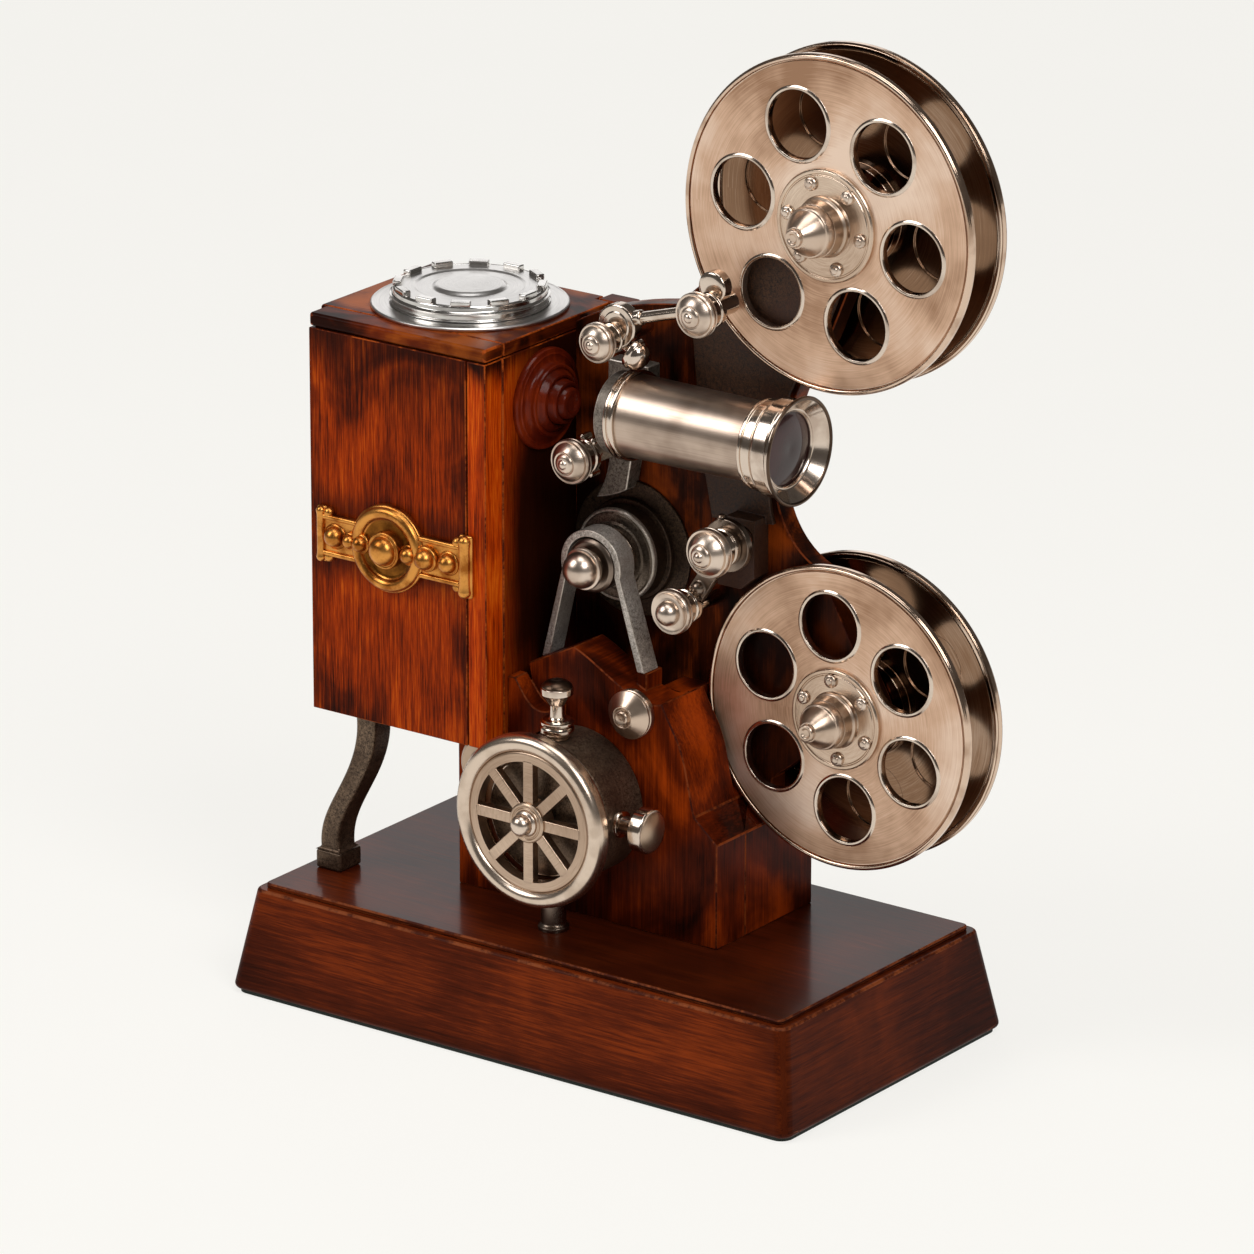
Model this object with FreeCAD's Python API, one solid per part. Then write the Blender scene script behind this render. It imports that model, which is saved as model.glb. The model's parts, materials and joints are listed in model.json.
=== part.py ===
import FreeCAD, Part
import math
import os

# Projector music box: a tabletop music box in the form of an old cine projector.
# Millimetres. X runs along the base with the lens towards +X, the front is -Y, +Z is up.
# The origin is the centre of the base's underside.

V = FreeCAD.Vector
X_DIR = V(1, 0, 0)
Y_DIR = V(0, 1, 0)
Z_DIR = V(0, 0, 1)

# Fits
fixed_fit = 0.02
running_fit = 0.05
turning_gap = 0.3

# Base
base_length = 156.4
base_depth = 86.2
base_corner = 3.0
felt_thickness = 0.8
plinth_height = 24.0
plinth_slope_x = 4.05
plinth_slope_y = 4.45
plinth_wall = 9.0
plinth_roof = 6.0
plinth_foot_round = 1.2
top_board_thickness = 1.2
top_board_margin = 1.9
base_screw_radius = 1.2
base_screw_head = 2.6
base_screw_head_height = 1.4
base_screw_bite = 9.0
felt_inset = 1.2

# Pedestal
pedestal_length = 72.3
pedestal_centre_x = -0.25
pedestal_front = -10.4
carved_board = 11.0
pedestal_box_depth = 26.1
pedestal_wall = 4.5
shoulder_rise = 39.4
right_shoulder_rise = 24.8
right_shoulder_length = 17.9
board_peak_x = -3.7
board_peak_rise = 63.7
board_corner_x = 20.6
board_corner_rise = 55.1
board_front_wall = 5.0
board_pocket_left = 29.0
board_pocket_right = 11.0
board_pocket_rise = 34.0
strap_block_length = 2.6
strap_block_rise = 59.3
strap_block_setback = 0.5
board_step_rise = 8.6
board_notch_x = 3.5
board_notch_rise = 12.6
board_step_x = 2.3
board_step_top_rise = 18.0
board_crease_x = 6.3
board_crease_rise = 5.4
scallop_thickness = 4.8
scallop_length = 12.8
scallop_rise = 15.7
scallop_dip = 6.5
wing_top_drop = 1.0

# Lamp house
lamp_right = -18.7
lamp_length = 49.6
lamp_front = -23.0
lamp_depth = 49.7
lamp_height = 90.5
lamp_wall = 4.0
lamp_front_thickness = 6.3
lamp_post_width = 5.1
lamp_joint = 0.35
lid_gap = 0.3
lid_thickness = 3.1
lid_front_strip = 7.0
lid_left_overhang = 2.0
lid_cleat_depth = 5.8
lid_cleat_reach = 4.7
lid_edge_round = 0.9
lid_notch = 4.0
lid_seat_inset = 1.0
lid_cleat_drop = 0.2

# Chimney
chimney_shift_x = 0.2
chimney_shift_y = 2.15
chimney_flange_radius = 22.5
chimney_flange_thickness = 0.9
chimney_cap_radius = 18.3
chimney_cap_rise = 4.5
chimney_rim_blocks = 12
chimney_rim_block_height = 1.0
chimney_rim_block_length = 4.8
chimney_rim_block_width = 2.4
chimney_rim_block_inset = 2.6
chimney_disc_radius = 7.8
chimney_disc_rise = 0.5

# Condenser boss on the side of the lamp house
condenser_drop = 0.6
condenser_radius = 11.65
condenser_reach = 8.0

# Brass ornament
ornament_left = 22.9
ornament_rise = 42.8
ornament_ring_outer = 10.0
ornament_ring_inner = 6.0
ornament_thickness = 1.5
ornament_ring_rise = 0.4
ornament_ball = 4.0
ornament_strap_height = 10.0
ornament_strap_left = 17.5
ornament_strap_right = 19.5
ornament_waist_reach = 12.0
ornament_waist = 1.0
ornament_spoke_half = 2.0
ornament_collar = 0.8
left_bar_width = 2.9
left_bar_half_height = 6.5
right_bar_width = 4.2
right_bar_half_height = 7.4
bar_rise = 0.3
large_stud_radius = 1.9
middle_stud_radius = 1.4
small_stud_radius = 1.3
left_outer_stud = 15.3
left_middle_stud = 10.6
left_inner_stud = 7.6
right_inner_stud = 5.6
right_middle_stud = 10.3
right_outer_stud = 16.4

# Support leg
leg_width = 5.4
leg_depth = 6.5
leg_top_inset = 13.4
leg_foot_inset = 2.9
leg_setback = 1.0
leg_bar_setback = 0.7
leg_foot_width = 7.4
leg_foot_depth = 8.0
leg_foot_height = 4.6

# Body plate and reels
plate_front = 10.6
plate_thickness = 5.3
plate_top_left_rise = 92.6
plate_waist_x = 36.6
plate_waist_drop = 14.8
plate_skirt_rise = 10.0
upper_arm_inset = 2.4
upper_arm_drop = 28.4
lower_arm_inset = 7.7
lower_arm_rise = 32.1
face_plate_thickness = 1.2
face_plate_margin = 1.2
face_plate_left = 17.0
face_plate_lean = 3.0
face_plate_rise = 23.2
face_plate_drop = 24.1
roller_block_depth = 4.4
roller_block_left = 4.6
roller_block_right = 3.2
roller_block_splay = 2.2
roller_block_rise = 4.6
roller_block_drop = 12.0
reel_clearance = 0.8
reel_width = 14.0
reel_front = 6.4
reel_web = 1.4
reel_recess = 0.5
reel_rim_width = 1.6
reel_rim_depth = 2.2
reel_rim_step = 0.4
reel_hole_lip = 0.9
reel_hole_lip_height = 0.4
reel_holes = 6
axle_radius = 2.5
bush_wall = 2.0
boss_radius = 9.0
hub_drum_radius = 11.5
hub_disc_thickness = 1.2
hub_screws = 6
hub_screw_radius = 1.2
hub_screw_head_height = 1.0

upper_reel_x = 52.4
upper_reel_gap = 1.3
upper_reel_radius = 38.2
upper_hole_radius = 7.8
upper_hole_pitch = 22.9
upper_hole_angle = 50.5
upper_disc_radius = 12.8
upper_cone_radius = 6.6
upper_cone_length = 12.2

lower_reel_overhang = 20.4
lower_reel_gap = 0.914
lower_reel_radius = 35.2
lower_hole_radius = 7.5
lower_hole_pitch = 21.2
lower_hole_angle = 36.0
lower_disc_radius = 11.7
lower_cone_radius = 6.2
lower_cone_length = 11.3

# Pulleys and belts behind the reels
belt_radius = 0.9
pulley_width = 3.0
pulley_flange = 1.4
reel_pulley_radius = 8.0
crank_pulley_radius = 5.5
belt_slack = 0.2
inner_belt_gap = 1.8
crank_pulley_gap = 1.5
outer_belt_gap = 0.6
idler_x = 6.0
idler_rise = 4.4
idler_stud_radius = 2.0
idler_stud_head = 3.2
idler_head_height = 1.6
idler_stud_cover = 1.5
shaft_overhang = 0.5

# Lens
lens_stand_off = 11.8
lens_drop = 12.3
lens_back_x = 4.8
barrel_radius = 9.4
barrel_length = 36.4
barrel_wall = 1.6
lens_ring_radius = 10.3
lens_rear_ring_width = 2.6
lens_front_ring_radius = 11.2
lens_front_ring_width = 8.3
flare_radius = 12.4
flare_length = 2.0
flare_lip = 0.7
barrel_taper = 0.3
barrel_bite = 4.5
glass_radius = 8.3
glass_rim = 0.4
glass_lip = 0.4
glass_crown = 0.8
glass_sunk = 3.3
bracket_front = 6.0
bracket_plate_width = 11.0
bracket_rise = 9.0
bracket_drop = 9.4
bracket_tail_drop = 24.1
bracket_socket_depth = 3.0

# Hand wheel and its drum
crank_x = -1.2
crank_rise = 28.5
shaft_radius = 1.6
wheel_radius = 20.3
wheel_window_radius = 14.1
wheel_gap = 0.7
wheel_rim_depth = 4.6
wheel_hub_radius = 4.9
wheel_spokes = 8
wheel_spoke_width = 2.6
wheel_spoke_depth = 2.3
wheel_inner_ring = 2.0
wheel_ring_sunk = 0.9
wheel_groove = 0.3
wheel_hub_dish = 0.3
wheel_corner = 1.7
wheel_cap_radius = 2.8
drum_radius = 17.0
drum_length = 16.3
drum_post_radius = 2.9
drum_post_setback = 5.9
drum_post_shift = 0.5
drum_post_bite = 1.5
top_knob_setback = 6.7
top_knob_rise = 30.5
side_knob_setback = 7.2
knob_bite = 4.0
side_knob_reach = 26.7
knob_collar_radius = 3.9
knob_cap_radius = 3.7
side_cap_radius = 5.2
knob_collar_height = 4.4
knob_cap_height = 5.7
knob_neck_radius = 1.7
side_neck_radius = 2.5
side_cap_length = 3.6
side_cap_crown = 0.6

# Small pieces on the pedestal's face
cone_knob_x = 13.4
cone_knob_rise = 51.8
cone_knob_radius = 5.6
cone_knob_length = 5.6
front_disc_x = -27.4
front_disc_rise = 30.1
front_disc_radius = 7.6
front_disc_thickness = 2.4

# Centre drum under its iron strap
centre_x = -2.3
centre_drop = 35.7
centre_plate_radius = 16.0
centre_plate_thickness = 0.8
centre_body_radius = 11.9
centre_ring_radius = 10.8
centre_ring_front = 3.4
centre_core_radius = 6.3
centre_core_front = -6.4
centre_ball_radius = 4.3
centre_ball_flange = 0.6
centre_ball_seat = 4.0
centre_ball_neck = 1.6
centre_ball_collar = 1.3
strap_thickness = 1.7
strap_width = 5.5
strap_front = -6.0
strap_right_foot_x = 11.6
strap_left_foot_x = -14.9
strap_left_foot_drop = 1.4
strap_foot_half = 1.02

# Guide rollers
roller_stand_off = 18.6
roller_rim = 2.0
roller_body_length = 4.6
roller_body_share = 0.74
roller_stem_share = 0.5
roller_a_x = 0.9
roller_a_rise = 17.3
roller_a_radius = 4.6
roller_a_tip = 2.4
roller_a_nose = 2.6
roller_b_x = 27.8
roller_b_rise = 28.5
roller_b_radius = 5.2
roller_b_tip = 2.4
roller_b_nose = 3.2
roller_b_gap = 1.4
roller_c_x = -6.4
roller_c_drop = 11.6
roller_c_radius = 5.2
roller_c_tip = 2.2
roller_c_nose = 3.0
roller_d_angle = 123.41
roller_d_gap = 4.142
roller_d_radius = 5.7
roller_d_tip = 2.0
roller_d_nose = 4.7
roller_e_angle = 147.89
roller_e_radius = 5.2
roller_e_tip = 3.05
roller_e_nose = 3.9
tie_rod_radius = 1.3
tie_rod_setback = 7.0
tie_rod_rise = 3.4
tie_rod_sleeve = 0.5
link_width = 4.4
link_thickness = 1.8
link_setback = 6.6
link_eye_radius = 6.1
link_top_ball = 1.1
link_top_angle = 106
link_ball_radius = 1.7
link_ball_share = 0.72
cam_radius = 5.0
cam_shift_x = 1.7
cam_rise = 3.0
finger_radius = 3.7
finger_wall = 0.7
finger_cup_depth = 1.6
finger_shift_x = 6.8
finger_drop = 3.4
finger_arm_radius = 1.2
cam_setback = 4.8
cam_depth = 3.4
collar_radius = 3.6
collar_shift_x = 0.6
collar_rise = 5.2
roller_stud_radius = 0.9

# Music movement inside the pedestal
movement_y = 5.0
worm_radius = 2.2
worm_length = 8.0
worm_wheel_radius = 6.5
worm_wheel_width = 4.0
cylinder_radius = 6.3
cylinder_length = 20.0
cylinder_start = 4.2
cylinder_pin_radius = 1.5
movement_ear = 2.0
movement_plate = 2.5
comb_thickness = 1.2
comb_teeth = 18
comb_tooth_length = 7.0
comb_slot = 0.3
comb_length = 10.0
comb_rest_depth = 2.8
comb_inset = 0.5
arbor_left_end = 3.0
arbor_right_end = 3.2
arbor_hub_radius = 3.0
ear_half_depth = 3.0
frame_front_reach = 6.5
frame_margin = 1.0
worm_threads = 5

# Levels and faces worked out from the driving sizes
plinth_top = felt_thickness + plinth_height
base_top_z = plinth_top + top_board_thickness
pedestal_left = pedestal_centre_x - pedestal_length / 2
pedestal_right = pedestal_centre_x + pedestal_length / 2
board_back = pedestal_front + carved_board
pedestal_rear = board_back + pedestal_box_depth
shoulder_z = base_top_z + shoulder_rise
right_shoulder_z = base_top_z + right_shoulder_rise
right_shoulder_x = pedestal_right - right_shoulder_length
lamp_left = lamp_right - lamp_length
lamp_rear = lamp_front + lamp_depth
lamp_bottom = shoulder_z
lamp_top = lamp_bottom + lamp_height
lid_bottom = lamp_top + lid_gap
lid_top = lid_bottom + lid_thickness
chimney_x = lamp_left + lamp_length / 2 + chimney_shift_x
chimney_y = lamp_front + lamp_depth / 2 + chimney_shift_y
ornament_x = lamp_left + ornament_left
ornament_z = lamp_bottom + ornament_rise
leg_top_x = lamp_left + leg_top_inset
leg_foot_x = lamp_left + leg_foot_inset
leg_front = lamp_front + leg_setback
plate_back = plate_front + plate_thickness
reel_back = reel_front + reel_width
web_front = reel_front + reel_rim_step
web_back = reel_back - reel_rim_step
inner_belt_front = reel_back + inner_belt_gap
middle_belt_front = pedestal_rear + crank_pulley_gap
outer_belt_front = middle_belt_front + pulley_width + outer_belt_gap
crank_z = base_top_z + crank_rise
cylinder_z = crank_z - worm_radius - worm_wheel_radius - turning_gap
drum_front = pedestal_front - drum_length
wheel_rim_front = drum_front - wheel_gap - wheel_rim_depth
drum_post_y = drum_front + drum_post_setback
top_knob_y = drum_front + top_knob_setback
side_knob_y = drum_front + side_knob_setback
cone_knob_z = base_top_z + cone_knob_rise
front_disc_z = base_top_z + front_disc_rise
lens_y = plate_front - lens_stand_off
lens_z = lamp_top - lens_drop
idler_z = lens_z + idler_rise
centre_z = lens_z - centre_drop
upper_reel_z = lens_z + lens_ring_radius + upper_reel_gap + upper_reel_radius
lower_reel_x = pedestal_right + lower_reel_overhang
lower_reel_rise = math.sqrt(lower_reel_radius ** 2 - lower_reel_overhang ** 2)
lower_reel_z = right_shoulder_z + lower_reel_gap + lower_reel_rise
roller_rim_y = plate_front - roller_stand_off
roller_a_z = lens_z + roller_a_rise
roller_b_z = lens_z + roller_b_rise
roller_b_back = reel_front - roller_b_gap
roller_c_z = lens_z - roller_c_drop
tie_rod_y = roller_rim_y + tie_rod_setback
link_front = roller_rim_y + link_setback
cam_front = roller_rim_y + cam_setback


def block(x0, x1, y0, y1, z0, z1):
    return Part.makeBox(x1 - x0, y1 - y0, z1 - z0, V(x0, y0, z0))


def rod_x(radius, y, z, x0, x1):
    return Part.makeCylinder(radius, x1 - x0, V(x0, y, z), X_DIR)


def rod_y(radius, x, z, y0, y1):
    return Part.makeCylinder(radius, y1 - y0, V(x, y0, z), Y_DIR)


def rod_z(radius, x, y, z0, z1):
    return Part.makeCylinder(radius, z1 - z0, V(x, y, z0), Z_DIR)


def rod_between(radius, start, end):
    return Part.makeCylinder(radius, (end - start).Length, start, end - start)


def turned(profile, base, axis, side):
    """Revolve a closed profile of (distance along the axis, radius[, bulge of the edge there])."""
    edges = []
    before = profile[-1]
    for point in profile:
        start = base + axis * before[0] + side * before[1]
        end = base + axis * point[0] + side * point[1]
        run = point[0] - before[0]
        rise = point[1] - before[1]
        length = math.hypot(run, rise)
        before = point
        if length < 1e-6:
            continue
        if len(point) == 2:
            edges.append(Part.LineSegment(start, end).toShape())
            continue
        outward = (axis * -rise + side * run) * (1 / length)
        if run < 0:
            outward = outward * -1
        middle = (start + end) * 0.5 + outward * point[2]
        edges.append(Part.Arc(start, middle, end).toShape())
    return Part.Face(Part.Wire(edges)).revolve(base, axis, 360)


def turned_y(profile, x, z, front):
    """A piece turned about a front-to-back axis; distances run backwards from its front."""
    return turned(profile, V(x, front, z), Y_DIR, X_DIR)


def turned_x(profile, y, z, start):
    return turned(profile, V(start, y, z), X_DIR, Z_DIR)


def turned_z(profile, x, y, bottom):
    return turned(profile, V(x, y, bottom), Z_DIR, X_DIR)


def wire_xz(steps, y):
    """A closed outline: a pair is a straight run, two pairs an arc through the first, a list a curve."""
    here = V(steps[0][0], y, steps[0][1])
    edges = []
    for step in steps[1:] + steps[:1]:
        if isinstance(step, list):
            points = [V(x, y, z) for x, z in step]
            curve = Part.BSplineCurve()
            curve.interpolate([here] + points)
            edges.append(curve.toShape())
            here = points[-1]
            continue
        if isinstance(step[0], tuple):
            middle = V(step[0][0], y, step[0][1])
            end = V(step[1][0], y, step[1][1])
            edges.append(Part.Arc(here, middle, end).toShape())
            here = end
            continue
        end = V(step[0], y, step[1])
        if (end - here).Length > 1e-6:
            edges.append(Part.LineSegment(here, end).toShape())
        here = end
    return Part.Wire(edges)


def plate_xz(steps, y0, y1):
    return Part.Face(wire_xz(steps, y0)).extrude(V(0, y1 - y0, 0))


def rounded_rectangle(length, depth, radius, z):
    """A closed wire centred on the Z axis, with round corners."""
    half_x = length / 2
    half_y = depth / 2
    edges = []
    corners = [(1, -1, -90), (1, 1, 0), (-1, 1, 90), (-1, -1, 180)]
    start = None
    here = None
    for sign_x, sign_y, angle in corners:
        centre = V(sign_x * (half_x - radius), sign_y * (half_y - radius), z)
        points = []
        for turn in (angle, angle + 45, angle + 90):
            reach = V(math.cos(math.radians(turn)), math.sin(math.radians(turn)), 0)
            points.append(centre + reach * radius)
        if here is None:
            start = points[0]
        else:
            edges.append(Part.LineSegment(here, points[0]).toShape())
        edges.append(Part.Arc(points[0], points[1], points[2]).toShape())
        here = points[2]
    edges.append(Part.LineSegment(here, start).toShape())
    return Part.Wire(edges)


def on_circle(x, z, radius, degrees):
    angle = math.radians(degrees)
    return x + radius * math.cos(angle), z + radius * math.sin(angle)


def beside_lower_reel(radius, gap, degrees):
    """The centre of a roller whose rim stands clear of the lower reel."""
    return on_circle(lower_reel_x, lower_reel_z, lower_reel_radius + gap + radius, degrees)


def fused(shapes):
    whole = shapes[0]
    for shape in shapes[1:]:
        whole = whole.fuse(shape)
    return whole.removeSplitter()


def bored(shape, cutters):
    for cutter in cutters:
        shape = shape.cut(cutter)
    return shape


# Base: felt, hollow plinth with sloping sides, thin top board, four screws up into the pedestal

def base_screw_places():
    inset = pedestal_wall / 2
    front_y = pedestal_front + board_front_wall
    rear_y = pedestal_rear - inset
    left_x = pedestal_left + inset
    right_x = pedestal_right - inset
    return [(left_x, front_y), (right_x, front_y), (left_x, rear_y), (right_x, rear_y)]


def make_base_felt():
    return Part.Face(felt_outline(0)).extrude(V(0, 0, felt_thickness))


def felt_outline(z):
    margin = 2 * felt_inset
    return rounded_rectangle(base_length - margin, base_depth - margin, base_corner, z)


def make_base_plinth():
    bottom = rounded_rectangle(base_length, base_depth, base_corner, felt_thickness)
    top_length = base_length - 2 * plinth_slope_x
    top_depth = base_depth - 2 * plinth_slope_y
    top = rounded_rectangle(top_length, top_depth, base_corner, plinth_top)
    plinth = Part.makeLoft([bottom, top], True, True)
    foot_edges = []
    for edge in plinth.Edges:
        if edge.BoundBox.ZMax < felt_thickness + 0.01:
            foot_edges.append(edge)
    plinth = plinth.makeFillet(plinth_foot_round, foot_edges)
    half_x = top_length / 2 - plinth_wall
    half_y = top_depth / 2 - plinth_wall
    hollow = block(-half_x, half_x, -half_y, half_y, felt_thickness, plinth_top - plinth_roof)
    holes = []
    for x, y in base_screw_places():
        holes.append(rod_z(base_screw_radius + turning_gap, x, y, 0, base_top_z))
        holes.append(rod_z(base_screw_head + turning_gap, x, y, 0, plinth_top - plinth_roof))
    return bored(plinth, [hollow] + holes)


def make_base_top():
    top_length = base_length - 2 * plinth_slope_x - 2 * top_board_margin
    top_depth = base_depth - 2 * plinth_slope_y - 2 * top_board_margin
    outline = rounded_rectangle(top_length, top_depth, base_corner / 2, plinth_top)
    board = Part.Face(outline).extrude(V(0, 0, top_board_thickness))
    holes = []
    for x, y in base_screw_places():
        holes.append(rod_z(base_screw_radius + turning_gap, x, y, plinth_top, base_top_z))
    return bored(board, holes)


def make_base_screws():
    screws = []
    seat = plinth_top - plinth_roof
    for x, y in base_screw_places():
        head = rod_z(base_screw_head, x, y, seat - base_screw_head_height, seat)
        shank = rod_z(base_screw_radius, x, y, seat, base_top_z + base_screw_bite)
        screws.append(head.fuse(shank))
    return Part.makeCompound(screws)


def base_screw_bores():
    bores = []
    for x, y in base_screw_places():
        top = base_top_z + base_screw_bite + fixed_fit
        bores.append(rod_z(base_screw_radius + fixed_fit, x, y, base_top_z, top))
    return bores


# Pedestal: a carved front board, and a hollow box behind it that holds the music movement

def right_hand_outline():
    """The board's right side, from its upper corner down to the right shoulder."""
    corner_z = base_top_z + board_corner_rise
    return [
        [
            (board_corner_x + 2.0, corner_z - 3.8),
            (board_corner_x + 4.9, corner_z - 9.0),
            (board_corner_x + 7.0, corner_z - 16.1),
            (pedestal_right - board_crease_x, right_shoulder_z + board_crease_rise),
        ],
        (pedestal_right, right_shoulder_z),
    ]


def make_pedestal_front():
    peak_z = base_top_z + board_peak_rise
    corner_z = base_top_z + board_corner_rise
    slope_x = board_corner_x - board_peak_x
    slope_z = peak_z - corner_z
    left_x = lamp_right
    steps = [
        (pedestal_left, base_top_z),
        (pedestal_left, shoulder_z),
        (left_x, shoulder_z),
        (left_x, shoulder_z + board_step_rise),
        (left_x + board_notch_x, shoulder_z + board_notch_rise),
        (left_x + board_step_x, shoulder_z + board_step_top_rise),
        (board_peak_x, peak_z),
        [
            (board_peak_x + 0.3 * slope_x, peak_z - 0.42 * slope_z),
            (board_peak_x + 0.6 * slope_x, peak_z - 0.88 * slope_z),
            (board_corner_x - 2.6, corner_z - 0.7),
            (board_corner_x, corner_z),
        ],
        *right_hand_outline(),
        (pedestal_right, base_top_z),
    ]
    board = plate_xz(steps, pedestal_front, board_back)
    strap_block = block(
        strap_right_foot_x - strap_block_length / 2,
        strap_right_foot_x + strap_block_length / 2,
        strap_front + strap_block_setback,
        board_back,
        shoulder_z,
        base_top_z + strap_block_rise,
    )
    board = fused([board, strap_block, scallop_block(), wing_block()])
    pocket = block(
        crank_x - board_pocket_left,
        crank_x + board_pocket_right,
        pedestal_front + board_front_wall,
        board_back,
        base_top_z,
        base_top_z + board_pocket_rise,
    )
    crank_bore = rod_y(shaft_radius + running_fit, crank_x, crank_z, pedestal_front, board_back)
    return bored(board, [pocket, crank_bore] + base_screw_bores())


def scallop_block():
    """A scalloped corner piece in front of the board, between the drum and the lamp house."""
    top = shoulder_z + scallop_rise
    low = top - scallop_dip
    right = lamp_right + scallop_length
    steps = [
        (lamp_right, shoulder_z),
        (lamp_right, top),
        (lamp_right + 0.16 * scallop_length, top),
        [
            (lamp_right + 0.36 * scallop_length, top - 0.56 * scallop_dip),
            (lamp_right + 0.58 * scallop_length, top - 0.94 * scallop_dip),
            (lamp_right + 0.78 * scallop_length, low),
            (right, top - 0.75 * scallop_dip),
        ],
        (right, shoulder_z),
    ]
    piece = plate_xz(steps, pedestal_front - scallop_thickness, pedestal_front)
    drum_room = rod_y(drum_radius + turning_gap, crank_x, crank_z, drum_front, pedestal_front)
    return piece.cut(drum_room)


def wing_block():
    """The thick right side of the board, which runs back to the body plate past the lower reel."""
    corner_z = base_top_z + board_corner_rise
    steps = [
        (strap_right_foot_x, shoulder_z),
        (strap_right_foot_x, corner_z - wing_top_drop),
        (board_corner_x - 2.6, corner_z - wing_top_drop),
        (board_corner_x, corner_z),
        *right_hand_outline(),
        (right_shoulder_x, right_shoulder_z),
        (right_shoulder_x, shoulder_z),
    ]
    wing = plate_xz(steps, board_back, plate_front)
    room_radius = lower_reel_radius + reel_clearance
    reel_room = rod_y(room_radius, lower_reel_x, lower_reel_z, reel_front - reel_clearance, plate_front)
    return wing.cut(reel_room)


def make_pedestal_box():
    steps = [
        (pedestal_left, base_top_z),
        (pedestal_left, shoulder_z),
        (right_shoulder_x, shoulder_z),
        (right_shoulder_x, right_shoulder_z),
        (pedestal_right, right_shoulder_z),
        (pedestal_right, base_top_z),
    ]
    shell = plate_xz(steps, board_back, pedestal_rear)
    inside_rear = pedestal_rear - pedestal_wall
    main_room = block(
        pedestal_left + pedestal_wall,
        right_shoulder_x - pedestal_wall,
        board_back,
        inside_rear,
        base_top_z,
        shoulder_z - pedestal_wall,
    )
    side_room = block(
        right_shoulder_x - pedestal_wall,
        pedestal_right - pedestal_wall,
        board_back,
        inside_rear,
        base_top_z,
        right_shoulder_z - pedestal_wall,
    )
    crank_bore = rod_y(shaft_radius + running_fit, crank_x, crank_z, inside_rear, pedestal_rear)
    return bored(shell, [main_room, side_room, crank_bore] + base_screw_bores())


def make_cone_knob():
    r = cone_knob_radius
    length = cone_knob_length
    profile = [
        (0, 0), (0.09 * length, 0.28 * r, 0.25), (0.13 * length, 0.28 * r), (0.07 * length, 0.33 * r),
        (0.07 * length, 0.39 * r), (0.16 * length, 0.42 * r), (0.5 * length, 0.97 * r, -0.2),
        (0.54 * length, r), (length - 0.3, r), (length, r - 0.3), (length, 0),
    ]
    return turned_y(profile, cone_knob_x, cone_knob_z, pedestal_front - length)


def make_front_disc():
    r = front_disc_radius
    t = front_disc_thickness
    profile = [
        (0, 0), (0, 0.55 * r), (0.25 * t, 0.6 * r), (0.38 * t, 0.9 * r), (0.67 * t, r), (t, r), (t, 0),
    ]
    return turned_y(profile, front_disc_x, front_disc_z, pedestal_front - t)


# Lamp house with its lid, chimney, condenser boss and brass ornament

def make_lamp_house_box():
    outer = block(lamp_left, lamp_right, lamp_front, lamp_rear, lamp_bottom, lamp_top)
    front_bay = block(
        lamp_left, lamp_right - lamp_post_width, lamp_front, lamp_front + lamp_front_thickness,
        lamp_bottom, lamp_top,
    )
    room = block(
        lamp_left + lamp_wall,
        lamp_right - lamp_wall - lamp_post_width,
        lamp_front + lamp_front_thickness,
        lamp_rear - lamp_wall,
        lamp_bottom + lamp_wall,
        lamp_top,
    )
    groove = block(
        lamp_right - lamp_joint, lamp_right, lamp_front + lamp_front_thickness,
        lamp_front + lamp_front_thickness + lamp_joint, lamp_bottom, lamp_top,
    )
    return bored(outer, [front_bay, room, groove])


def make_lamp_house_front():
    return block(
        lamp_left,
        lamp_right - lamp_post_width - lamp_joint,
        lamp_front,
        lamp_front + lamp_front_thickness,
        lamp_bottom,
        lamp_top,
    )


def lid_seat():
    """A thin packing board on top of the walls, which leaves the dark line under the lid."""
    inset = lid_seat_inset
    return block(
        lamp_left + inset, lamp_right - inset, lamp_front + inset, lamp_rear - inset,
        lamp_top, lid_bottom,
    )


def make_lid_board():
    front = lamp_front + lid_front_strip
    board = block(lamp_left - lid_left_overhang, lamp_right, front, lamp_rear, lid_bottom, lid_top)
    edges = []
    for edge in board.Edges:
        box = edge.BoundBox
        if box.XMax < lamp_left and box.YMax - box.YMin > lid_front_strip:
            edges.append(edge)
    board = board.makeFillet(lid_edge_round, edges)
    rear = lamp_rear - lid_cleat_depth / 2
    notch = block(lamp_right - lid_notch, lamp_right, rear, lamp_rear, lid_bottom, lid_top)
    return fused([board.cut(notch), lid_seat()])


def make_lid_cleats():
    strip = block(
        lamp_left, lamp_right, lamp_front, lamp_front + lid_front_strip - lamp_joint / 2,
        lid_bottom, lid_top,
    )
    strip = strip.makeFillet(lid_edge_round, front_edges(strip))
    seat = lid_seat()
    half = lid_cleat_depth / 2
    cleat = block(
        lamp_right - lid_notch + lamp_joint / 2, lamp_right + lid_cleat_reach,
        lamp_rear - half + lamp_joint / 2, lamp_rear + half, lid_bottom + lid_cleat_drop, lid_top,
    )
    cleat = cleat.makeFillet(lid_edge_round, side_edges(cleat))
    return Part.makeCompound([strip.cut(seat), cleat.cut(seat)])


def front_edges(board):
    face_y = board.BoundBox.YMin
    return [edge for edge in board.Edges if edge.BoundBox.YMax < face_y + 0.01]


def side_edges(board):
    face_x = board.BoundBox.XMax
    return [edge for edge in board.Edges if edge.BoundBox.XMin > face_x - 0.01]


def make_chimney_flange():
    r = chimney_flange_radius
    t = chimney_flange_thickness
    profile = [(0, 0), (0, r), (0.5 * t, r), (t, r - 0.6), (t, 0)]
    return turned_z(profile, chimney_x, chimney_y, lid_top)


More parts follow.
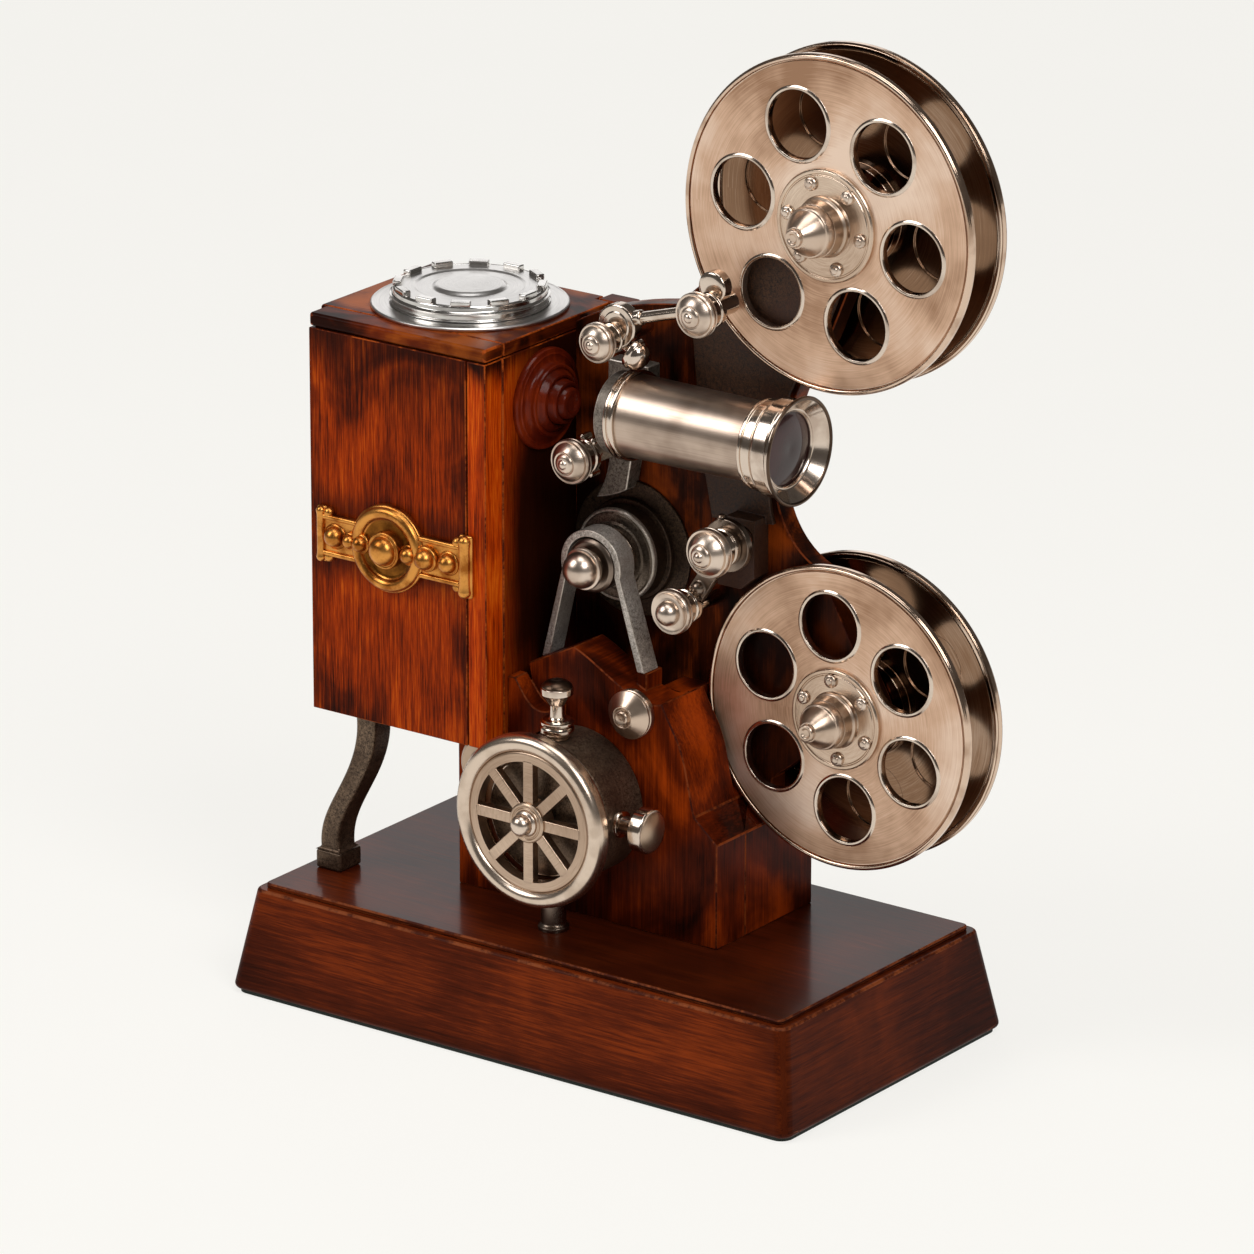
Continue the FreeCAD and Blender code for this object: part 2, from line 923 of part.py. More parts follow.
def make_chimney_cap():
    r = chimney_cap_radius
    h = chimney_cap_rise - chimney_flange_thickness
    profile = [
        (0, 0), (0, r), (0.35 * h, r), (0.5 * h, r - 0.5), (0.5 * h, r - 1.0), (h - 0.4, r - 1.0),
        (h, r - 1.4), (h, chimney_disc_radius), (h + chimney_disc_rise, chimney_disc_radius - 0.4),
        (h + chimney_disc_rise, 0),
    ]
    cap = turned_z(profile, chimney_x, chimney_y, lid_top + chimney_flange_thickness)
    top = lid_top + chimney_flange_thickness + h
    pieces = [cap]
    ring = r - chimney_rim_block_inset
    half_width = chimney_rim_block_width / 2
    half_length = chimney_rim_block_length / 2
    for number in range(chimney_rim_blocks):
        angle = 360 / chimney_rim_blocks * (number + 0.5)
        block_x, block_y = on_circle(chimney_x, chimney_y, ring, angle)
        piece = block(
            -half_width, half_width, -half_length, half_length, top - 0.3, top + chimney_rim_block_height)
        piece.rotate(V(0, 0, 0), Z_DIR, angle)
        piece.translate(V(block_x, block_y, 0))
        pieces.append(piece)
    return fused(pieces)


def make_condenser_boss():
    r = condenser_radius
    reach = condenser_reach
    profile = [
        (0, 0), (0, r), (0.12 * reach, r), (0.27 * reach, 0.84 * r, 0.3), (0.4 * reach, 0.82 * r),
        (0.5 * reach, 0.5 * r), (0.8 * reach, 0.46 * r), (0.8 * reach, 0.37 * r), (reach, 0.33 * r),
        (reach, 0),
    ]
    return turned_x(profile, lens_y, lens_z - condenser_drop, lamp_right)


def make_brass_ornament():
    back = lamp_front
    front = back - ornament_thickness
    left = ornament_x - ornament_strap_left
    right = ornament_x + ornament_strap_right
    half = ornament_strap_height / 2
    low = ornament_z - half
    high = ornament_z + half
    waist_left = ornament_x - ornament_waist_reach
    waist_right = ornament_x + ornament_waist_reach
    waist_low = low + ornament_waist
    waist_high = high - ornament_waist
    strap = plate_xz(
        [
            (left, low), (left, high), (waist_left, waist_high), (waist_right, waist_high),
            (right, high), (right, low), (waist_right, waist_low), (waist_left, waist_low),
        ],
        front, back,
    )
    ring = rod_y(ornament_ring_outer, ornament_x, ornament_z, front - ornament_ring_rise, back)
    end_bars = [
        block(
            left - left_bar_width, left, front - bar_rise, back,
            ornament_z - left_bar_half_height, ornament_z + left_bar_half_height,
        ),
        block(
            right, right + right_bar_width, front - bar_rise, back,
            ornament_z - right_bar_half_height, ornament_z + right_bar_half_height,
        ),
    ]
    window = rod_y(ornament_ring_inner, ornament_x, ornament_z, front - 1.0, back)
    centre = rod_y(ornament_ball + ornament_collar, ornament_x, ornament_z, front, back)
    spokes = block(
        ornament_x - ornament_ring_inner - 0.5, ornament_x + ornament_ring_inner + 0.5, front, back,
        ornament_z - ornament_spoke_half, ornament_z + ornament_spoke_half,
    )
    return fused([fused([strap, ring] + end_bars).cut(window), centre, spokes])


def make_brass_studs():
    face = lamp_front - ornament_thickness
    studs = []
    places = [
        (-left_outer_stud, large_stud_radius),
        (-left_middle_stud, middle_stud_radius),
        (-left_inner_stud, small_stud_radius),
        (right_inner_stud, small_stud_radius),
        (right_middle_stud, large_stud_radius),
        (right_outer_stud, large_stud_radius),
    ]
    for offset, radius in places:
        bulge = radius * (1 - math.sqrt(0.5))
        profile = [(0, 0), (radius, radius, bulge), (radius, 0)]
        front = face - radius
        if abs(offset) - radius < ornament_ring_outer:
            front -= ornament_ring_rise
        studs.append(turned_y(profile, ornament_x + offset, ornament_z, front))
    bulge = ornament_ball * (1 - math.sqrt(0.5))
    profile = [(0, 0), (ornament_ball, ornament_ball, bulge), (ornament_ball, 0)]
    studs.append(turned_y(profile, ornament_x, ornament_z, face - ornament_ball))
    return Part.makeCompound(studs)


# Iron leg under the free end of the lamp house

def make_support_leg():
    drop = lamp_bottom - base_top_z - leg_foot_height
    swing = leg_top_x - leg_foot_x
    half = leg_width / 2
    foot_top = base_top_z + leg_foot_height
    shares = [(1.0, 1.0), (0.97, 0.8), (0.74, 0.6), (0.35, 0.38), (0.03, 0.16), (0.0, 0.0)]
    left = []
    right = []
    for across, up in shares:
        x = leg_foot_x + swing * across
        z = foot_top + drop * up
        left.append((x - half, z))
        right.append((x + half, z))
    steps = [left[0], left[1:], right[-1], list(reversed(right[:-1]))]
    bar_front = leg_front + leg_bar_setback
    bar = plate_xz(steps, bar_front, bar_front + leg_depth)
    foot = block(
        leg_foot_x - leg_foot_width / 2, leg_foot_x + leg_foot_width / 2, leg_front,
        leg_front + leg_foot_depth, base_top_z, foot_top,
    )
    return fused([bar, foot])


# Body plate, which carries the reels, the lens and the guide rollers

def body_plate_steps():
    top_left_z = shoulder_z + plate_top_left_rise
    upper_left = on_circle(upper_reel_x, upper_reel_z, boss_radius, 140)
    upper_top = on_circle(upper_reel_x, upper_reel_z, boss_radius, 50)
    upper_right = on_circle(upper_reel_x, upper_reel_z, boss_radius, -35)
    lower_right = on_circle(lower_reel_x, lower_reel_z, boss_radius, 35)
    lower_low = on_circle(lower_reel_x, lower_reel_z, boss_radius, -40)
    lower_left = on_circle(lower_reel_x, lower_reel_z, boss_radius, -125)
    return [
        (lamp_right, shoulder_z),
        (lamp_right, top_left_z),
        [(lamp_right + 8.7, top_left_z + 4.3), (-3.2, top_left_z + 6.5), (9.5, top_left_z + 9.0)],
        upper_left,
        (upper_top, upper_right),
        (upper_reel_x - upper_arm_inset, upper_reel_z - upper_arm_drop),
        [
            (plate_waist_x + 6.0, lens_z + 10.0),
            (plate_waist_x + 1.8, lens_z - 2.6),
            (plate_waist_x, lens_z - plate_waist_drop),
            (plate_waist_x + 3.4, lens_z - plate_waist_drop - 9.3),
            (lower_reel_x - lower_arm_inset, lower_reel_z + lower_arm_rise),
        ],
        lower_right,
        (lower_low, lower_left),
        (pedestal_right, right_shoulder_z + plate_skirt_rise),
        (pedestal_right, right_shoulder_z),
        (right_shoulder_x, right_shoulder_z),
        (right_shoulder_x, shoulder_z),
    ]


def make_body_plate():
    plate = plate_xz(body_plate_steps(), plate_front, plate_back)
    bush_radius = axle_radius + running_fit + bush_wall
    seats = []
    for x, z in [(upper_reel_x, upper_reel_z), (lower_reel_x, lower_reel_z)]:
        seats.append(rod_y(bush_radius + fixed_fit, x, z, plate_front, plate_back))
    stud_front = plate_front + idler_stud_cover
    seats.append(rod_y(idler_stud_radius + fixed_fit, idler_x, idler_z, stud_front, plate_back))
    return bored(plate, seats)


def make_reel_bushes():
    bushes = []
    for x, z in [(upper_reel_x, upper_reel_z), (lower_reel_x, lower_reel_z)]:
        sleeve = rod_y(axle_radius + running_fit + bush_wall, x, z, plate_front, plate_back)
        bushes.append(sleeve.cut(rod_y(axle_radius + running_fit, x, z, plate_front, plate_back)))
    return Part.makeCompound(bushes)


def make_arm_face_plate():
    margin = boss_radius - face_plate_margin
    right_x = plate_waist_x - face_plate_margin
    waist_z = lens_z - plate_waist_drop
    upper_left = on_circle(upper_reel_x, upper_reel_z, margin, 140)
    upper_top = on_circle(upper_reel_x, upper_reel_z, margin, 50)
    upper_right = on_circle(upper_reel_x, upper_reel_z, margin, -35)
    steps = [
        (face_plate_left, lens_z - barrel_radius),
        (face_plate_left - face_plate_lean, lens_z + face_plate_rise),
        upper_left,
        (upper_top, upper_right),
        (upper_reel_x - upper_arm_inset - face_plate_margin, upper_reel_z - upper_arm_drop),
        [
            (right_x + 6.0, lens_z + 10.0),
            (right_x + 1.8, lens_z - 2.6),
            (right_x, waist_z),
            (right_x + 1.4, waist_z - 7.8),
        ],
        (face_plate_left + face_plate_lean, lens_z - face_plate_drop),
    ]
    front = plate_front - face_plate_thickness
    roller_d_x, roller_d_z = beside_lower_reel(roller_d_radius, roller_d_gap, roller_d_angle)
    face = plate_xz(steps, front, plate_front)
    block_front = front - roller_block_depth
    block_steps = [
        (roller_d_x - roller_block_left - roller_block_splay, roller_d_z - roller_block_drop),
        (roller_d_x - roller_block_left, roller_d_z + roller_block_rise),
        (roller_d_x + roller_block_right, roller_d_z + roller_block_rise),
        (roller_d_x + roller_block_right, roller_d_z - roller_block_drop),
    ]
    roller_block = plate_xz(block_steps, block_front, plate_front)
    drum_room = rod_y(
        hub_drum_radius + reel_clearance, upper_reel_x, upper_reel_z, block_front, plate_front)
    reel_room = rod_y(
        lower_reel_radius + reel_clearance, lower_reel_x, lower_reel_z, block_front, plate_front)
    shaft = rod_y(roller_d_radius / 2 + fixed_fit, roller_d_x, roller_d_z, block_front, plate_front)
    return bored(fused([face, roller_block]), [drum_room, reel_room, shaft])


# Reels: two flanges either side of the body plate on one axle

def flange(x, z, radius, hole_radius, hole_pitch, hole_angle, front):
    """A rimmed disc: the front one has round windows, the rear one shallow recesses on both faces."""
    if front:
        web_y0 = web_front
        rim_y0 = reel_front
    else:
        web_y0 = web_back - reel_web
        rim_y0 = reel_back - reel_rim_depth
    disc = rod_y(radius - reel_rim_width / 2, x, z, web_y0, web_y0 + reel_web)
    inner = radius - reel_rim_width
    r0 = 0.35
    rim_profile = [
        (0, inner + r0), (0, radius - r0), (r0, radius), (reel_rim_depth - r0, radius),
        (reel_rim_depth, radius - r0), (reel_rim_depth, inner + r0),
        (reel_rim_depth - r0, inner), (r0, inner),
    ]
    rim = turned_y(rim_profile, x, z, rim_y0)
    lips = []
    holes = []
    lip_y0 = web_y0 - reel_hole_lip_height
    for number in range(reel_holes):
        hole_x, hole_z = on_circle(x, z, hole_pitch, hole_angle + number * 360 / reel_holes)
        if front:
            lips.append(rod_y(hole_radius + reel_hole_lip, hole_x, hole_z, lip_y0, web_y0 + reel_web))
            holes.append(rod_y(hole_radius, hole_x, hole_z, lip_y0 - 1, web_y0 + reel_web + 1))
            continue
        holes.append(rod_y(hole_radius, hole_x, hole_z, web_y0, web_y0 + reel_recess))
        holes.append(rod_y(hole_radius, hole_x, hole_z, web_back - reel_recess, web_back))
    holes.append(rod_y(axle_radius + fixed_fit, x, z, lip_y0 - 1, web_y0 + reel_web + 1))
    return bored(fused([disc, rim] + lips), holes)


def rear_flange_with_drum(x, z, radius, hole_radius, hole_pitch, hole_angle):
    disc = flange(x, z, radius, hole_radius, hole_pitch, hole_angle, False)
    drum = rod_y(hub_drum_radius, x, z, plate_back + turning_gap, web_back - reel_web)
    bore = rod_y(axle_radius + fixed_fit, x, z, plate_back, reel_back)
    return bored(fused([disc, drum]), [bore])


def axle(x, z, end_y):
    """The front hub drum and the axle behind it, turned from one bar."""
    drum_y0 = web_front + reel_web
    drum_y1 = plate_front - turning_gap
    drum_depth = drum_y1 - drum_y0
    nose = drum_y0 - (web_front - hub_disc_thickness)
    profile = [
        (-nose, 0), (-nose, axle_radius), (0, axle_radius), (0, hub_drum_radius),
        (drum_depth, hub_drum_radius), (drum_depth, axle_radius),
        (end_y - drum_y0, axle_radius), (end_y - drum_y0, 0),
    ]
    return turned_y(profile, x, z, drum_y0)


def hub_disc(x, z, radius):
    front = web_front - hub_disc_thickness
    r0 = 0.3
    profile = [
        (0, axle_radius + fixed_fit), (0, radius - r0), (r0, radius), (hub_disc_thickness, radius),
        (hub_disc_thickness, axle_radius + fixed_fit),
    ]
    return turned_y(profile, x, z, front)


def hub_cone(x, z, radius, length):
    back = web_front - hub_disc_thickness
    profile = [
        (0, 0), (0, 0.28 * radius), (0.5, 0.33 * radius), (0.16 * length, 0.38 * radius),
        (0.2 * length, 0.5 * radius), (0.62 * length, 0.95 * radius, 0.5), (0.66 * length, radius),
        (length, radius), (length, 0),
    ]
    return turned_y(profile, x, z, back - length)


def hub_screw_ring(x, z, disc_radius, cone_radius, start_angle):
    pitch = (disc_radius + cone_radius) / 2
    face = web_front - hub_disc_thickness
    h = hub_screw_head_height
    r = hub_screw_radius
    screws = []
    for number in range(hub_screws):
        screw_x, screw_z = on_circle(x, z, pitch, start_angle + number * 360 / hub_screws)
        profile = [(0, 0), (0.1, 0.5 * r), (0.6 * h, r, 0.12), (h, r), (h, 0)]
        screws.append(turned_y(profile, screw_x, screw_z, face - h))
    return Part.makeCompound(screws)


def grooved_pulley_profile(outer, width):
    groove = outer - pulley_flange
    return [
        (0, 0), (0, outer), (0.1 * width, outer), (0.3 * width, groove), (0.7 * width, groove),
        (0.9 * width, outer), (width, outer), (width, 0),
    ]


def pulley(x, z, outer, front, bore_radius):
    wheel = turned_y(grooved_pulley_profile(outer, pulley_width), x, z, front)
    return wheel.cut(rod_y(bore_radius + fixed_fit, x, z, front, front + pulley_width))


def make_crank_pulley():
    """Two grooves: the front one drives the idler, the rear one the lower reel."""
    front = pulley(crank_x, crank_z, crank_pulley_radius, middle_belt_front, shaft_radius)
    rear = pulley(crank_x, crank_z, crank_pulley_radius, outer_belt_front, shaft_radius)
    collar = rod_y(
        shaft_radius + bush_wall, crank_x, crank_z, middle_belt_front + pulley_width, outer_belt_front)
    bore = rod_y(
        shaft_radius + fixed_fit, crank_x, crank_z, middle_belt_front, outer_belt_front + pulley_width)
    return fused([front, rear, collar]).cut(bore)


def make_idler_pulley():
    """A double pulley that turns on a stud and carries the drive up to the upper reel."""
    front = pulley(idler_x, idler_z, reel_pulley_radius, inner_belt_front, idler_stud_radius)
    rear = pulley(idler_x, idler_z, reel_pulley_radius, middle_belt_front, idler_stud_radius)
    sleeve = rod_y(
        idler_stud_radius + bush_wall, idler_x, idler_z, plate_back + 2 * turning_gap, middle_belt_front)
    bore = rod_y(
        idler_stud_radius + running_fit, idler_x, idler_z, plate_back, middle_belt_front + pulley_width)
    return fused([front, rear, sleeve]).cut(bore)


def make_idler_stud():
    """A shouldered stud driven into the back of the body plate, with a head behind the pulley."""
    pulley_back = middle_belt_front + pulley_width
    head_front = pulley_back + turning_gap
    root = rod_y(idler_stud_radius, idler_x, idler_z, plate_front + idler_stud_cover, head_front)
    head = rod_y(idler_stud_head, idler_x, idler_z, head_front, head_front + idler_head_height)
    collar = rod_y(idler_stud_head, idler_x, idler_z, plate_back, plate_back + turning_gap)
    return fused([root, head, collar])


def belt(first, first_radius, second, second_radius, y):
    """A round belt about two pulleys: two straight runs and two arcs, swept by a small circle."""
    run_x = second[0] - first[0]
    run_z = second[1] - first[1]
    distance = math.hypot(run_x, run_z)
    heading = math.degrees(math.atan2(run_z, run_x))
    lean = math.degrees(math.asin((first_radius - second_radius) / distance))
    up = heading + 90 - lean
    down = heading - 90 + lean
    first_up = on_circle(first[0], first[1], first_radius, up)
    first_far = on_circle(first[0], first[1], first_radius, heading + 180)
    first_down = on_circle(first[0], first[1], first_radius, down)
    second_down = on_circle(second[0], second[1], second_radius, down)
    second_far = on_circle(second[0], second[1], second_radius, heading)
    second_up = on_circle(second[0], second[1], second_radius, up)
    path = wire_xz([first_up, (first_far, first_down), second_down, (second_far, second_up)], y)
    start = path.OrderedEdges[0].Vertexes[0].Point
    tangent = path.OrderedEdges[0].tangentAt(path.OrderedEdges[0].FirstParameter)
    circle = Part.Wire(Part.makeCircle(belt_radius, start, tangent))
    return path.makePipeShell([circle], True, False)


def make_belts():
    """Crank to lower reel, crank to idler, idler to upper reel."""
    slack = belt_radius + belt_slack - pulley_flange
    crank = (crank_x, crank_z)
    idler = (idler_x, idler_z)
    small = crank_pulley_radius + slack
    large = reel_pulley_radius + slack
    half = pulley_width / 2
    return Part.makeCompound([
        belt(crank, small, (lower_reel_x, lower_reel_z), large, outer_belt_front + half),
        belt(crank, small, idler, large, middle_belt_front + half),
        belt(idler, large, (upper_reel_x, upper_reel_z), large, inner_belt_front + half),
    ])


# Lens and its iron bracket

def make_lens_bracket():
    back = lens_back_x
    width = bracket_plate_width
    tail = bracket_tail_drop
    left = back - width
    steps = [
        (back, lens_z - bracket_drop),
        (back, lens_z + bracket_rise),
        (left, lens_z + bracket_rise),
        (left, lens_z - 0.25 * tail),
        [
            (left + 0.03 * width, lens_z - 0.564 * tail),
            (left - 0.09 * width, lens_z - 0.805 * tail),
            (left - 0.31 * width, lens_z - tail),
        ],
        [(left + 0.08 * width, lens_z - 0.95 * tail), (left + 0.46 * width, lens_z - 0.867 * tail)],
        (left + 0.6 * width, lens_z - 0.515 * tail),
    ]
    plate = plate_xz(steps, bracket_front, plate_front)
    socket = rod_x(barrel_radius, lens_y, lens_z, back - bracket_socket_depth, back)
    disc_front = plate_front - centre_plate_thickness
    drum_disc = rod_y(centre_plate_radius + fixed_fit, centre_x, centre_z, disc_front, plate_front)
    drum_room = rod_y(centre_body_radius + turning_gap, centre_x, centre_z, bracket_front, plate_front)
    return bored(fused([plate, socket]), [drum_disc, drum_room])


def make_lens_rear_ring():
    r = lens_ring_radius
    w = lens_rear_ring_width
    inner = barrel_radius + fixed_fit
    profile = [
        (0, inner), (0, r - 0.3), (0.3, r), (0.4 * w, r), (0.5 * w, r - 0.3), (0.6 * w, r), (w - 0.3, r),
        (w, r - 0.3), (w, inner),
    ]
    return turned_x(profile, lens_y, lens_z, lens_back_x)


def make_lens_barrel():
    r = barrel_radius
    inner = r - barrel_wall
    end = barrel_length + barrel_bite
    profile = [
        (0, 0), (0, r), (barrel_length, r - barrel_taper), (end, r - barrel_taper), (end, inner),
        (1.5, inner), (1.5, 0),
    ]
    return turned_x(profile, lens_y, lens_z, lens_back_x)


def make_lens_flare():
    """The stepped front ring and the flared rim, turned from one piece."""
    inner = barrel_radius - barrel_taper + fixed_fit
    seat = glass_radius + glass_rim
    small = lens_ring_radius
    r = lens_front_ring_radius
    w = lens_front_ring_width
    end = w + flare_length
    glass_front = end - glass_sunk
    profile = [
        (0, inner), (0, small - 0.3), (0.3, small), (0.9, small), (1.2, small - 0.4), (1.5, small - 0.4),
        (1.7, small + 0.2), (3.6, small + 0.2), (3.9, small - 0.1), (4.2, small - 0.1), (4.5, r),
        (w - 0.3, r), (w, r - 0.4), (w + 0.5, r - 0.4), (end - 0.3, flare_radius, -0.25),
        (end, flare_radius - 0.2), (end, flare_radius - flare_lip), (glass_front, glass_radius),
        (glass_front - glass_lip, glass_radius), (glass_front - glass_lip, seat), (barrel_bite, seat),
        (barrel_bite, inner),
    ]
    return turned_x(profile, lens_y, lens_z, lens_back_x + barrel_length)


def make_lens_glass():
    """The front lens, held between the end of the barrel and the lip of the flare."""
    start = lens_back_x + barrel_length + barrel_bite
    radius = glass_radius + glass_rim - fixed_fit
    flare_end = lens_front_ring_width + flare_length
    edge = flare_end - glass_sunk - glass_lip - barrel_bite - fixed_fit
    front = glass_radius - fixed_fit
    crown = edge + glass_crown
    profile = [(0, 0), (0, radius), (edge, radius), (edge, front), (crown, 0.2 * front, 0.25), (crown, 0)]
    return turned_x(profile, lens_y, lens_z, start)


# Hand wheel, crank shaft and the drum they turn in

def make_hand_wheel():
    """A round rim, a flat inner ring set back from its face, a stepped hub and flat spokes."""
    r = wheel_radius
    w = wheel_rim_depth
    inner = wheel_window_radius
    ring = inner + wheel_inner_ring
    sunk = wheel_ring_sunk
    face = ring + 3 * wheel_groove
    corner = r - wheel_corner
    profile = [
        (sunk, inner), (sunk, ring), (sunk + wheel_groove, ring + wheel_groove), (0.3, face),
        (0, face + 0.4), (0, corner), (0.37 * w, r, 0.45), (0.63 * w, r), (w, corner, 0.45), (w, face),
        (w - sunk, ring), (w - sunk, inner),
    ]
    rim = turned_y(profile, crank_x, crank_z, wheel_rim_front)
    hub = wheel_hub_radius
    hub_profile = [
        (wheel_hub_dish, 0), (wheel_hub_dish, 0.78 * hub), (0, 0.8 * hub), (0, 0.94 * hub),
        (wheel_hub_dish, hub), (w, hub), (w, 0),
    ]
    pieces = [rim, turned_y(hub_profile, crank_x, crank_z, wheel_rim_front)]
    spoke_front = wheel_rim_front + sunk
    for number in range(wheel_spokes):
        spoke = block(
            crank_x, crank_x + ring, spoke_front, spoke_front + wheel_spoke_depth,
            crank_z - wheel_spoke_width / 2, crank_z + wheel_spoke_width / 2,
        )
        spoke.rotate(V(crank_x, 0, crank_z), Y_DIR, number * 360 / wheel_spokes)
        pieces.append(spoke)
    bore = rod_y(shaft_radius + fixed_fit, crank_x, crank_z, wheel_rim_front, wheel_rim_front + w)
    return fused(pieces).cut(bore)


def make_hand_wheel_cap():
    r = wheel_cap_radius
    bulge = r * (1 - math.sqrt(0.5))
    profile = [(0, 0), (r, r, bulge), (r + 0.6, r + 0.5), (r + 1.2, r + 0.5), (r + 1.2, 0)]
    return turned_y(profile, crank_x, crank_z, wheel_rim_front + wheel_hub_dish - r - 1.2)


def make_crank_shaft():
    """The shaft with its worm, from the hand wheel's cap to the pulley behind the pedestal."""
    start = wheel_rim_front + wheel_hub_dish
    end = outer_belt_front + pulley_width + shaft_overhang
    worm_start = movement_y - worm_length / 2
    profile = [
        (0, 0), (0, shaft_radius), (worm_start - start, shaft_radius), (worm_start - start, worm_radius),
    ]
    pitch = worm_length / worm_threads
    root = (shaft_radius + worm_radius) / 2
    for number in range(worm_threads):
        place = worm_start - start + number * pitch
        profile.append((place + 0.35 * pitch, worm_radius))
        profile.append((place + 0.5 * pitch, root))
        profile.append((place + 0.65 * pitch, worm_radius))
    worm_end = worm_start - start + worm_length
    profile += [
        (worm_end, worm_radius), (worm_end, shaft_radius), (end - start, shaft_radius), (end - start, 0),
    ]
    return turned_y(profile, crank_x, crank_z, start)


def make_drum_housing():
    r = drum_radius
    length = drum_length
    bore = shaft_radius + running_fit
    profile = [
        (0, bore), (0, r - 1.2), (0.9, r - 0.3), (2.2, r - 0.3), (2.5, r - 0.7), (2.8, r), (length, r),
        (length, bore),
    ]
    drum = turned_y(profile, crank_x, crank_z, drum_front)
    bite = r - knob_bite
    post_top = crank_z - r + drum_post_bite
    post = rod_z(drum_post_radius + fixed_fit, crank_x - drum_post_shift, drum_post_y, base_top_z, post_top)
    stem = rod_z(knob_neck_radius + fixed_fit, crank_x, top_knob_y, crank_z + bite, crank_z + r + 1)
    side = rod_x(side_neck_radius + fixed_fit, side_knob_y, crank_z, crank_x + bite, crank_x + r + 1)
    return bored(drum, [post, stem, side])


def make_drum_post():
    z0 = base_top_z
    r = drum_post_radius
    top = crank_z - drum_radius + drum_post_bite - z0
    profile = [(0, 0), (0, r + 0.7), (1.0, r + 0.7), (1.6, r), (top, r), (top, 0)]
    return turned_z(profile, crank_x - drum_post_shift, drum_post_y, z0)


def make_top_knob():
    """A mushroom knob on a thin neck above a ringed collar, screwed into the top of the drum."""
    n = knob_neck_radius
    c = knob_collar_radius
    cap = knob_cap_radius
    seat = drum_radius + 0.1
    bottom = drum_radius - knob_bite
    ring = seat + knob_collar_height
    top = top_knob_rise
    under = top - knob_cap_height
    profile = [
        (bottom, 0), (bottom, n), (seat, n), (seat, c - 0.9), (ring - 1.5, c - 0.2, 0.5),
        (ring - 1.3, c - 0.4), (ring - 1.1, c), (ring - 0.4, c), (ring, c - 0.6), (ring, n + 0.3),
        (ring + 0.4, n), (under, n), (under + 0.2, n + 0.4), (top - 3.2, cap - 0.2), (top - 3.0, cap),
        (top - 1.4, cap), (top - 1.2, cap - 0.2), (top, 0.2 * cap, 0.25), (top, 0),
    ]
    return turned_z(profile, crank_x, top_knob_y, crank_z)


def make_side_knob():
    n = side_neck_radius
    cap = side_cap_radius
    reach = side_knob_reach
    bottom = drum_radius - knob_bite
    seat = drum_radius + 0.05
    back = reach - side_cap_crown - side_cap_length
    face = reach - side_cap_crown
    profile = [
        (bottom, 0), (bottom, n), (seat, n), (seat, n + 0.7), (seat + 0.8, n + 0.7), (seat + 1.1, n),
        (back, n), (back + 0.2, cap - 0.7), (back + 0.8, cap), (face - 0.6, cap), (face, cap - 0.6),
        (reach, 0.2 * cap, 0.15), (reach, 0),
    ]
    return turned_x(profile, side_knob_y, crank_z, crank_x)


# Centre drum under its strap

def make_centre_drum():
    front = centre_core_front
    ring = centre_ring_front - front
    body = ring + 4.9
    disc = plate_front - centre_plate_thickness - front
    end = plate_front - front
    core = centre_core_radius
    neck = centre_ball_neck
    profile = [
        (-neck, 0), (-neck, centre_ball_seat), (0, centre_ball_seat), (0, core - 0.5), (0.5, core),
        (ring - 1.5, core),
        (ring, core + 1.2), (ring, centre_ring_radius - 0.5), (ring + 0.5, centre_ring_radius),
        (body, centre_ring_radius), (body, centre_body_radius), (disc, centre_body_radius),
        (disc, centre_plate_radius), (end, centre_plate_radius), (end, 0),
    ]
    return turned_y(profile, centre_x, centre_z, front)


def make_centre_ball():
    r = centre_ball_radius
    end = r + centre_ball_collar
    flange_radius = r + centre_ball_flange
    profile = [
        (0, 0), (r, r, r * (1 - math.sqrt(0.5))), (r + 0.2, flange_radius), (end - 0.3, flange_radius),
        (end, flange_radius - 0.3), (end, 0),
    ]
    back = centre_core_front - centre_ball_neck
    return turned_y(profile, centre_x, centre_z, back - end)


def make_drum_strap():
    """An iron band over the drum, with two legs that splay down to the carved board."""
    inner = centre_core_radius + turning_gap
    outer = inner + strap_thickness
    left_angle = 195
    right_angle = -12
    outer_left = on_circle(centre_x, centre_z, outer, left_angle)
    outer_right = on_circle(centre_x, centre_z, outer, right_angle)
    inner_left = on_circle(centre_x, centre_z, inner, left_angle)
    inner_right = on_circle(centre_x, centre_z, inner, right_angle)
    outer_top = on_circle(centre_x, centre_z, outer, 90)
    inner_top = on_circle(centre_x, centre_z, inner, 90)
    foot = base_top_z + strap_block_rise
    half = strap_foot_half
    left_foot = foot - strap_left_foot_drop
    steps = [
        (strap_left_foot_x - half, left_foot),
        outer_left,
        (outer_top, outer_right),
        (strap_right_foot_x + half, foot),
        (strap_right_foot_x - half, foot),
        inner_right,
        (inner_top, inner_left),
        (strap_left_foot_x + half, left_foot),
    ]
    return plate_xz(steps, strap_front, strap_front + strap_width).cut(make_pedestal_front())


# Guide rollers: cone-ended turned posts, most of them screwed to the body plate

